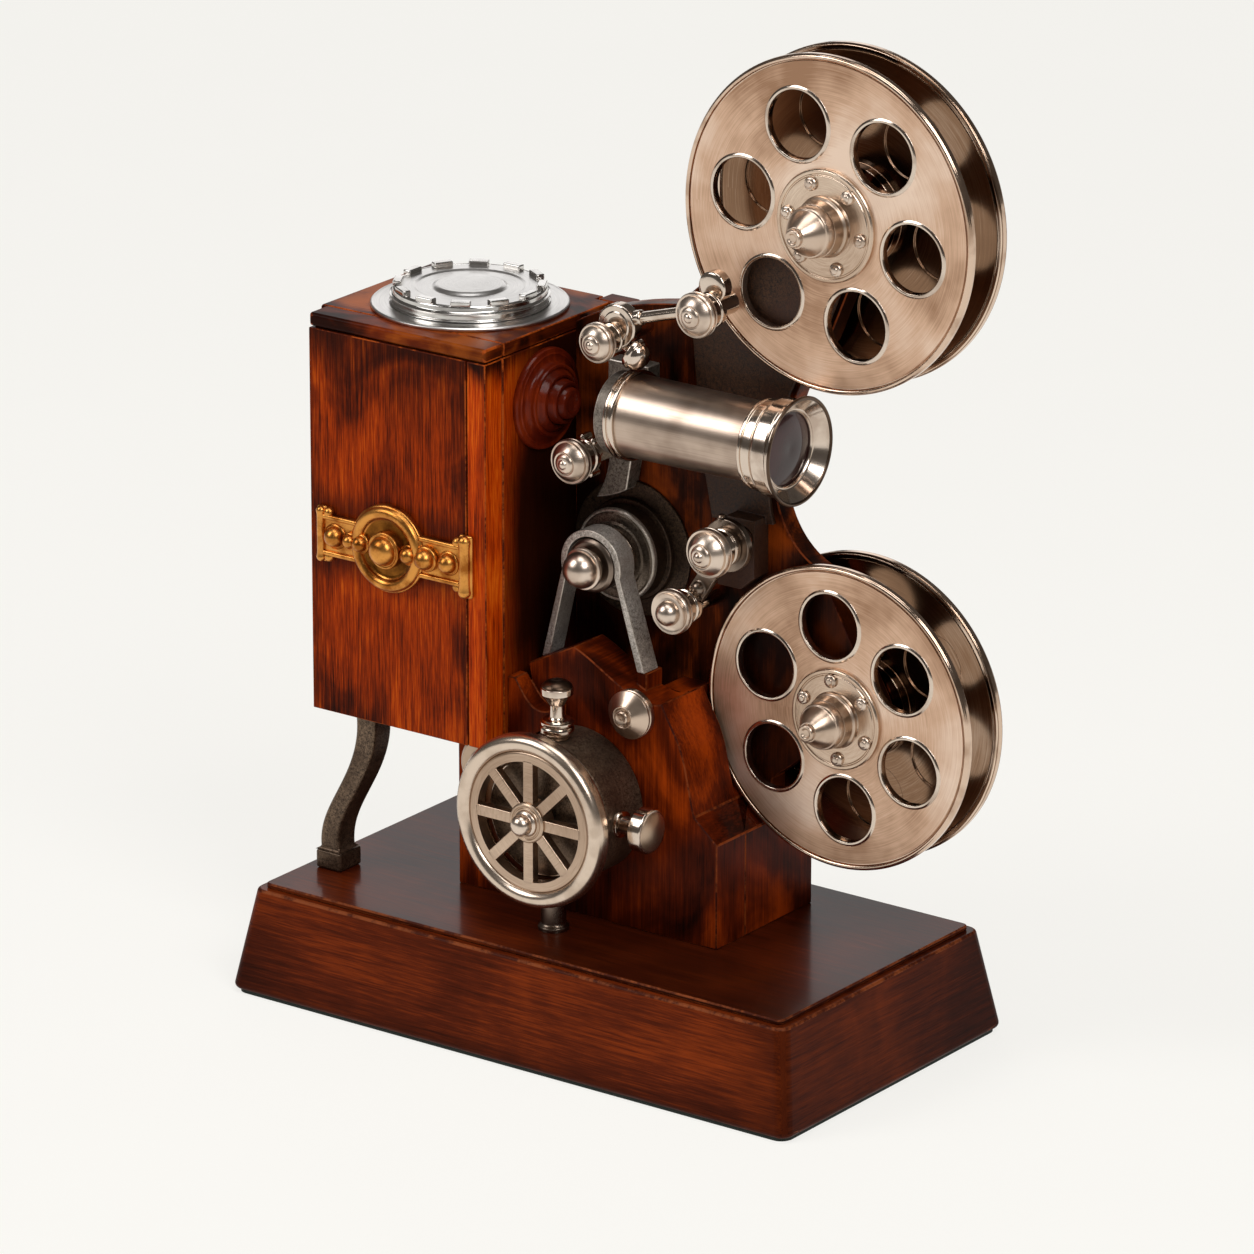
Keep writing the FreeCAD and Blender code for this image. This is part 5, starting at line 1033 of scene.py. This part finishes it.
def make_lens():
    base = Vector((low("lens_rear_ring").x, middle("lens_barrel").y, middle("lens_barrel").z))
    r = reach("lens_rear_ring").z / 2
    inner = reach("lens_barrel").z / 2 + 0.02
    painted(turned("lens_rear_rings", [(0, inner)] + moved([
        (0, -0.3), (0.25, 0), (0.95, 0), (1.1, -0.45), (1.4, -0.45), (1.55, 0), (2.3, 0), (2.6, -0.4),
    ], 0, r) + [(2.6, inner)], base, RIGHT), polished, "lens_rear_ring")
    barrel_r = inner - 0.02
    barrel_length = 36.4
    barrel = turned("lens_barrel_finished", [(0, 0), (0, barrel_r)] + moved([
        (0, -0.3), (4.5, -0.3), (4.5, -1.6),
    ], barrel_length, barrel_r) + [(1.5, barrel_r - 1.6), (1.5, 0)], base, RIGHT, 128)
    painted(barrel, brushed_along("brushed_barrel", LENGTHWAYS, "c2ae9e", "7f6b5c"), "lens_barrel")
    start = base + RIGHT * barrel_length
    small = 10.3
    band = 11.2
    w = 8.3
    end = w + 2.0
    flare = 12.4
    glass_r = 8.3
    glass_front = end - 3.3
    knurl = moved([
        (0, -0.3), (0.25, 0), (0.85, 0), (1.05, -0.45), (1.5, -0.45), (1.7, 0.2), (3.5, 0.2), (3.75, -0.2),
        (4.15, -0.2),
    ], 0, small)
    bell = moved([(4.4, -0.15), (4.7, 0), (w - 0.4, 0), (w - 0.1, -0.35), (w + 0.3, -0.45)], 0, band)
    mouth = moved([(-0.6, -0.4, -0.3), (-0.6, -1.0), (-0.35, -0.9)], end, flare)
    seat = moved([(0.5, 0.9), (0.3, 0.55), (0.45, 0.3), (0, 0), (-0.4, 0), (-0.4, 0.4)], glass_front, glass_r)
    bore = inner - 0.28
    flare_steps = [(0, bore)] + knurl + bell + mouth + seat + [(4.5, glass_r + 0.4), (4.5, bore)]
    painted(turned("lens_flare_finished", flare_steps, start, RIGHT, 128, 0.12), polished, "lens_flare")
    painted(turned("lens_flare_lip", moved([
        (-0.75, -0.7), (-0.6, -0.05), (-0.3, 0), (0, -0.2), (0, -0.6), (-0.3, -0.95),
    ], end, flare), start, RIGHT, 128, 0.08), turned_dark, "lens_flare")
    edge = high("lens_glass").x - 0.8
    back = low("lens_glass").x
    rim = reach("lens_glass").z / 2
    front_r = glass_r - 0.02
    painted(turned("lens_glass_finished", [
        (back, 0), (back, rim), (edge, rim), (edge, front_r), (edge + 0.8, 0, 0.45),
    ], Vector((0, base.y, base.z)), RIGHT, 96, 0.05), glass, "lens_glass")


# Hand wheel, drum and knobs

def make_hand_wheel():
    node = "hand_wheel"
    centre = middle(node)
    at = front_of(node, centre)
    r = reach(node).z / 2
    w = reach(node).y
    inner = 14.1
    ring = inner + 2.0
    sunk = 0.9
    half_round = 2.0
    rim = turned("wheel_rim", [
        (half_round, ring + 0.15), (half_round - 0.5, ring + 0.2),
        (half_round - 0.5, r - 0.15, half_round - 0.55), (half_round, r), (w - 1.0, r), (w, r - 1.2, 0.3),
        (w, ring + 0.6), (w - 0.6, ring + 0.15),
    ], at, BACK, 144, 0.12)
    painted(rim, wheel_metal, node)
    face = brushed_round("brushed_wheel", centre, DEPTHWAYS, "b49b86", "8f7560", "d0b8a2")
    flat = turned("wheel_inner_ring", [
        (sunk, inner), (sunk, ring - 0.15), (sunk + 0.2, ring + 0.25), (w - sunk, ring + 0.25),
        (w - sunk, inner),
    ], at, BACK, 144, 0.12)
    depth = 2.3
    width = 2.7
    spoke = slab("spoke", at + Vector((3.2, sunk, -width / 2)),
                 at + Vector((inner + 0.6, sunk + depth, width / 2)), 0.3, 3)
    spokes = repeated_round(spoke, centre, "Y", 8)
    painted(smoothed(joined("wheel_face", [flat] + spokes)), face, node)
    hub = 4.7
    painted(turned("wheel_hub", sized([
        (0.3, 0), (0.3, 0.62), (0.1, 0.66), (0.1, 0.72), (0.4, 0.76), (0.4, 0.8), (0.15, 0.84), (0.15, 0.92),
        (0.5, 1), (w, 1), (w, 0),
    ], 1, hub), at, BACK, 96, 0.07), satin, node)
    cap = "hand_wheel_cap"
    r = 2.5
    painted(turned("wheel_ball", [(0, 0)] + moved([
        (-0.3, 0, ball_bulge(r)), (0.15, -0.1), (0.5, -0.1), (0.7, 0.2), (1.0, 0.5), (1.5, 0.5), (1.5, -r),
    ], r, r), front_of(cap, centre), BACK, 64, 0.08), balled, cap)


def make_drum():
    node = "drum_housing"
    at = front_of(node, middle(node))
    r = reach(node).z / 2
    length = reach(node).y
    painted(turned("drum_barrel", moved([
        (0.5, -r), (0.5, -1.2), (2.2, -1.2), (2.5, -0.7), (2.8, -0.05), (3.2, 0), (length - 0.5, 0),
        (length - 0.2, -0.1), (length, -0.5), (length, -r),
    ], 0, r), at, BACK, 144, 0.1), drum_iron, node)
    painted(turned("drum_front_ring", moved([
        (0, -3.4), (0, -1.3), (0.8, -0.4), (1.9, -0.35), (2.3, -0.8), (2.3, -3.4),
    ], 0, r), at, BACK, 144, 0.2), polished, node)
    post = "drum_post"
    pr = reach(post).x / 2 - 0.7
    top = reach(post).z
    painted(turned("drum_post_finished", [
        (0, 0), (0, pr + 0.7), (0.9, pr + 0.7), (1.2, pr + 0.3), (1.6, pr), (top, pr), (top, 0),
    ], Vector((middle(post).x, middle(post).y, low(post).z)), UP, 64), dark_nickel, post)


def make_drum_knobs():
    node = "drum_knobs"
    wheel = middle("hand_wheel")
    drum_r = reach("drum_housing").z / 2
    n = 1.7
    c = 3.9
    cap = 3.7
    seat = drum_r + 0.1
    bottom = drum_r - 4
    ring = seat + 4.4
    top = high(node).z - wheel.z
    under = top - 5.7
    top_y = low("drum_housing").y + 6.7
    at = Vector((wheel.x, top_y, wheel.z))
    foot = [(bottom, 0), (bottom, n), (seat, n), (seat, c - 0.9), (seat + 0.5, c - 0.8)] + moved([
        (-1.6, -0.25, 0.5), (-1.45, -0.6), (-1.2, -0.6), (-1.05, 0), (-0.45, 0), (-0.3, -0.4), (0, -0.7),
    ], ring, c)
    neck = [(ring, n + 0.4), (ring + 0.35, n + 0.1), (ring + 0.5, n), (under, n), (under + 0.2, n + 0.3)]
    head = moved([(-3.3, -0.25), (-3.1, 0), (-1.6, 0), (-1.45, -0.3), (-1.45, -cap)], top, cap)
    painted(turned("top_knob_stem", foot + neck + head, at, UP, 72, 0.1), polished, node)
    painted(turned("top_knob_cap", [
        (top - 1.6, 0), (top - 1.6, cap - 0.2), (top - 1.2, cap - 0.2), (top, 0, 0.6),
    ], at, UP, 72, 0.12), turned_dark, node)
    n = 2.1
    cap = 5.2
    side_y = low("drum_housing").y + 7.2
    end = high(node).x - wheel.x
    back = end - 0.6 - 3.6
    face = end - 0.6
    at = Vector((wheel.x, side_y, wheel.z))
    stem = [(bottom, 0), (bottom, n)] + moved([(0, 0), (0, 1.1), (0.9, 0.9), (1.2, 0)], seat, n)
    stem += moved([(-0.5, 0), (-0.3, 0.6), (0, 0.8)], back, n)
    head = [(back, cap - 0.4), (back + 0.4, cap)] + moved([(-0.4, 0), (-0.1, -0.3), (-0.1, -cap)], face, cap)
    painted(turned("side_knob", stem + head, at, RIGHT, 96, 0.06), polished, node)
    painted(turned("side_knob_face", [
        (face - 0.5, 0), (face - 0.5, cap - 0.55), (face, cap - 0.75), (end - 0.1, 0.5 * cap), (end, 0),
    ], at, RIGHT, 96, 0.06), satin, node)


# Centre drum

def make_centre_drum():
    node = "centre_drum"
    centre = middle(node)
    front = low(node).y + 1.6
    core = 6.3
    ring = 3.4 + 6.4
    plate_r = reach(node).z / 2
    end = high(node).y - front
    disc = end - 0.8
    at = Vector((centre.x, front, centre.z))
    painted(turned("centre_core", [
        (-1.6, 0), (-1.6, 4.0), (-0.9, 4.1), (-0.8, 3.7), (0, 3.7), (0, core - 0.9), (0.2, core - 0.5),
        (0.6, core),
    ] + moved([
        (-2.2, 0), (-2.0, -0.3), (-1.6, -0.3), (-1.4, 0), (0, 0), (0, -core),
    ], ring, core), at, BACK, 96, 0.1), dark_nickel, node)
    painted(turned("centre_ring", moved([
        (-0.6, core - 0.5), (-0.6, core + 1.2), (-0.2, core + 1.6), (-0.1, 9.7), (0.15, 10.1), (0.45, 10.5),
        (0.45, core - 0.5),
    ], ring, 0), at, BACK, 128, 0.1), core_iron, node)
    # The ring's edge takes the light edge iron: partly rubbed wear, partly a painted highlight.
    painted(turned("centre_ring_edge", moved([
        (0.15, 10.0), (-0.05, 10.2), (0.05, 10.6), (0.5, 10.8), (1.2, 10.82), (1.2, 10.0),
    ], ring, 0), at, BACK, 128, 0.08), worn_highlit_iron, node)
    painted(turned("centre_ring_side", moved([
        (0.4, core), (0.4, 10.7), (4.9, 10.8), (4.9, 11.7), (5.1, 11.9),
    ], ring, 0) + [
        (disc, 11.9), (disc, plate_r - 0.2), (disc + 0.2, plate_r), (end, plate_r), (end, core),
    ], at, BACK, 128, 0.12), dark_iron, node)
    ball = "centre_ball"
    r = 4.3
    flange = r + 0.6
    back = r + 1.3
    painted(turned("centre_ball_finished", [
        (0, 0), (r, r, ball_bulge(r)), (r + 0.1, r - 0.1), (r + 0.2, flange - 0.1), (r + 0.5, flange),
        (back - 0.3, flange), (back, flange - 0.3), (back, 0),
    ], front_of(ball, centre), BACK, 96, 0.08), balled, ball)


# Guide rollers

PLATE_FRONT = 5.3
PLATE_TO_RIMS = PLATE_FRONT + 18.6


def roller(name, place, rim, nose, back, ball):
    """Pieces of one roller: the stepped head, with a ball in front or a small nose, and the body behind it."""
    rim_y = high("body_plate").y - PLATE_TO_RIMS
    at = Vector((place.x, rim_y - nose, place.z))
    body = 0.78 * rim
    stem = 0.5 * rim
    rim_end = nose + 1.5
    length = back - rim_y + nose
    if ball:
        front = [(0, 0), (ball, ball, ball_bulge(ball))] + moved([
            (0.1, -0.15), (0.25, -0.15), (0.3, 0.3),
        ], ball, ball)
    else:
        front = sized([
            (0, 0), (0.12, 0.19, 0.14), (0.2, 0.22), (0.2, 0.29), (0.34, 0.45, 0.08), (0.4, 0.46), (0.36, 0.53),
        ], nose, rim)
    flank = sized([(0.8, 0.86, 0.12), (0.88, 0.87), (0.84, 0.95), (1, 1)], nose, rim)
    edge = moved([
        (-0.9, 0), (-0.8, -0.35), (-0.6, -0.35), (-0.5, -0.05), (-0.2, -0.05), (0, -0.4), (0, -rim),
    ], rim_end, rim)
    head = turned(name + "_head", front + flank + edge, at, BACK, 96, 0.06)
    shank = turned(name + "_shank", moved([
        (-0.2, -body), (-0.2, -0.4), (0.5, -0.4), (0.8, 0), (2.6, 0), (2.8, -0.4), (3.2, -0.4), (3.4, 0),
        (4.8, 0), (5.0, -0.3),
    ], rim_end, body) + [(rim_end + 5.2, stem), (length, stem), (length, 0)], at, BACK, 72, 0.1)
    return head, shank


def make_rollers():
    lens_z = middle("lens_barrel").z
    plate = high("body_plate").y - PLATE_FRONT
    reel_front = low("upper_reel_front_flange").y
    lower = middle("lower_reel_front_flange")
    lower_r = reach("lower_reel_front_flange").z / 2
    roller_a = Vector((0.9, 0, lens_z + 17.3))
    roller_b = Vector((27.8, 0, lens_z + 28.5))
    roller_c = Vector((-6.4, 0, lens_z - 11.6))
    rim_c = 5.2
    rim_d = 5.7
    rim_e = 5.2
    roller_d = on_circle(lower, lower_r + 4.142 + rim_d, 123.41)
    roller_e = on_circle(lower, lower_r + 0.8 + rim_e, 147.89)
    for name, node, place, rim, nose, back, ball in (
        ("guide_a", "upper_guide_rollers", roller_a, 4.6, 3.2, plate, 0),
        ("guide_b", "upper_guide_rollers", roller_b, 5.2, 3.4, reel_front - 1.4, 0),
        ("guide_c", "side_guide_roller", roller_c, rim_c, 3.6, plate - 4.6, 0),
        ("guide_d", "lower_guide_rollers", roller_d, rim_d, 4.7, plate, 0),
        ("guide_e", "lower_guide_rollers", roller_e, rim_e, 3.9, plate, 2.9),
    ):
        head, shank = roller(name, place, rim, nose, back, ball)
        painted(head, balled, node)
        painted(shank, polished, node)
    rim_y = high("body_plate").y - PLATE_TO_RIMS
    cam_front = rim_y + 4.8
    cam = turned("cam_disc", [
        (0, 0), (0, 3.2), (0.25, 3.4), (0.25, 4.6), (0.5, 5.0), (3.1, 5.0), (3.4, 4.7), (3.4, 0),
    ], Vector((2.6, cam_front, lens_z + 20.3)), BACK, 72, 0.12)
    painted(cam, polished, "upper_guide_rollers")
    collar = turned("small_collar", [
        (0, 0), (0, 2.4), (0.3, 3.3), (0.6, 3.6), (3.1, 3.6), (3.4, 3.3), (3.4, 0),
    ], Vector((28.4, cam_front, lens_z + 33.7)), BACK, 64, 0.12)
    painted(collar, polished, "upper_guide_rollers")
    run = Vector((6.8, 0, -3.4))
    start = roller_a + BACK * (cam_front + 1.7)
    length = run.length
    r = 3.7
    rim = length - r / 2
    finger = turned("cup_finger", [(0, 0), (0, 1.2), (rim + 1.6, 1.2)] + moved([
        (1.6, -1.5), (0.6, -1.0), (0, -0.7), (-0.05, -0.3), (0.3, 0), (1.2, 0), (1.5, -0.25),
    ], rim, r) + [(length + 0.62 * r, 0.3 * r, 0.6), (length + 0.7 * r, 0)], start, run.normalized(), 72, 0.12)
    painted(finger, polished, "upper_guide_rollers")
    studs = []
    side = roller_c + BACK * cam_front
    for angle in (60, 100, -70):
        studs.append(turned("side_stud", [
            (0, 0), (0.3, 0.7, 0.1), (0.4, 0.9), (3.4, 0.9), (3.4, 0),
        ], on_circle(side, 0.8 * rim_c, angle), BACK, 24, 0.1))
    painted(joined("side_studs", studs), polished, "side_guide_roller")
    tie_y = rim_y + 7.0
    first = roller_a + Vector((0, tie_y, 3.4))
    last = roller_b + BACK * tie_y
    along = (last - first).normalized()
    span = (last - first).length
    rod = turned("tie_rod_finished", [
        (0, 0), (0, 1.3), (5.0, 1.3), (5.1, 1.75), (5.5, 1.8), (7.6, 1.8), (8.0, 1.6), (8.0, 1.3), (span, 1.3),
        (span, 0),
    ], first, along, 48, 0.1)
    painted(rod, polished, "tie_rod")
    dressed("roller_link", dark_nickel, 0.25, 2)


# Reels

def six_places(centre, pitch, first):
    """Places for six windows or screws about a reel's centre."""
    return [on_circle(centre, pitch, first + 60 * number) for number in range(6)]


def make_reel(reel, hole_r, pitch, first_angle, disc_r, cone_r):
    front_node = reel + "_front_flange"
    centre = middle(front_node)
    r = reach(front_node).z / 2
    web = 1.5
    inner = r - 1.6
    at = front_of(front_node, centre) + BACK * 0.3
    face = brushed_round(reel + "_brushed", centre, DEPTHWAYS, "d8b397", "a47e62", "f3d9c4", rough=0.4,
                         spread=(0.26, 0.95, 0.1), metallic=0.78)
    disc = turned(reel + "_web", [
        (0, 0), (0, inner), (0.5, inner + 0.05), (web, inner + 0.1), (web, 0),
    ], at, BACK, 144, 0.02)
    places = six_places(at, pitch, first_angle)
    shifts = [place - places[0] for place in places[1:]]
    cut = turned("window_cut", [(-2, 0), (-2, hole_r), (4, hole_r), (4, 0)], places[0], BACK, 96, 0.02)
    painted(pierced(disc, copied(cut, shifts)), face, front_node)
    lip = turned("window_lip", moved([
        (-0.25, 0.05), (-0.3, 0.5), (-0.02, 1.0), (0.3, 1.0), (0.3, 0.3), (web + 0.05, 0.3), (web + 0.05, -0.1),
        (0.2, -0.1),
    ], 0, hole_r), places[0], BACK, 96, 0.07)
    painted(smoothed(joined(reel + "_window_lips", copied(lip, shifts))), polished, front_node)
    rim = turned(reel + "_rim", [(0.8, inner - 0.05), (0.8, inner + 0.34), (0.2, inner + 0.42)] + moved([
        (0.3, -0.25, 0.28), (0.7, 0, 0.05), (1.6, 0), (2.2, -0.4),
    ], 0, r) + [(2.2, inner + 0.3), (1.85, inner - 0.05)], front_of(front_node, centre), BACK, 160, 0.06)
    painted(rim, rim_metal, front_node)
    rear_node = reel + "_rear_flange"
    # The rear flange's inner face has a painted reflection: a fan of light and dark wedges.
    inside = brushed_round(reel + "_inside", middle(rear_node), DEPTHWAYS, "84664f", "2a1d16", "dcc6b2",
                           rough=0.17, spread=(0.12, 0.16, 0.06), reflection_fan=0.95)
    dressed(rear_node, inside, 0.2, 2)
    rear_rim = turned(reel + "_rear_rim", moved([
        (0.35, -1.1), (0.02, -0.85), (-0.02, -0.45), (0.45, 0.02), (1.6, 0.02), (2.22, -0.6), (2.22, -1.1),
    ], 0, r), Vector((centre.x, high(rear_node).y - 2.2, centre.z)), BACK, 160, 0.08)
    painted(rear_rim, rim_metal, rear_node)
    dressed(reel + "_axle", turned_dark)
    disc_node = reel + "_hub_disc"
    at = front_of(disc_node, centre)
    hub_face = brushed_round(reel + "_hub_brushed", centre, DEPTHWAYS, "c6ae99", "a0866f", "decab6",
                             rough=0.24)
    painted(turned(reel + "_hub_disc_finished", [(0, 0)] + moved([
        (0, -1.5), (0.25, -1.35), (0.25, -1.1), (0, -0.95), (0, -0.35), (0.35, 0), (1.2, 0), (1.2, -disc_r),
    ], 0, disc_r), at, BACK, 128, 0.06), hub_face, disc_node)
    cone_node = reel + "_hub_cone"
    tip = sized([(0.5, 0), (0.5, 0.13), (0.1, 0.18), (0, 0.22), (0, 0.27), (0.3, 0.31)], 1, cone_r)
    flank = sized([
        (0.09, 0.32), (0.09, 0.36), (0.14, 0.42), (0.46, 0.78, 0.12), (0.465, 0.83), (0.5, 0.86),
        (0.62, 0.9, 0.05), (0.625, 0.86), (0.65, 0.86), (0.655, 0.91), (0.84, 0.94), (0.9, 0.98, -0.1),
        (0.92, 1.02), (1, 1.06, -0.1), (1, 0),
    ], reach(cone_node).y, cone_r)
    cone = turned(reel + "_cone", tip + flank, front_of(cone_node, centre), BACK, 112, 0.06)
    painted(cone, satin_turned, cone_node)
    places = six_places(at, (disc_r + cone_r) / 2 + 0.1, first_angle)
    head_r = 1.6
    screw = turned("screw", sized([
        (-1.35, 0), (-1.3, 0.35, 0.02), (-1.05, 0.55, 0.05), (-0.95, 0.56), (-0.9, 0.68), (-0.3, 1, 0.14),
        (0, 1), (0, 0),
    ], 1, head_r), places[0], BACK, 48, 0.05)
    shifts = [place - places[0] for place in places[1:]]
    painted(joined(reel + "_screws", copied(screw, shifts)), balled, reel + "_hub_screws")
    dressed(reel + "_pulley", satin, 0.12, 2)


# Works behind and inside

def make_works():
    for node in ("crank_pulley", "idler_pulley", "idler_stud", "crank_shaft"):
        dressed(node, satin, 0.1, 2)
    dressed("drive_belts", belt)
    dressed("reel_bushes", brass)
    for node in ("base_screws", "movement_frame", "music_comb"):
        coated(nodes[node], steel)
    coated(nodes["music_cylinder"], brass)


set_stage()
set_lights()
set_camera()
make_base()
make_pedestal()
make_pedestal_knobs()
make_lamp_house()
make_chimney()
make_ornament()
make_plates()
make_lens()
make_hand_wheel()
make_drum()
make_drum_knobs()
make_centre_drum()
make_rollers()
make_reel("upper_reel", hole_r=7.8, pitch=22.9, first_angle=50.5, disc_r=12.8, cone_r=6.6)
make_reel("lower_reel", hole_r=7.5, pitch=21.2, first_angle=36.0, disc_r=11.7, cone_r=6.2)
make_works()
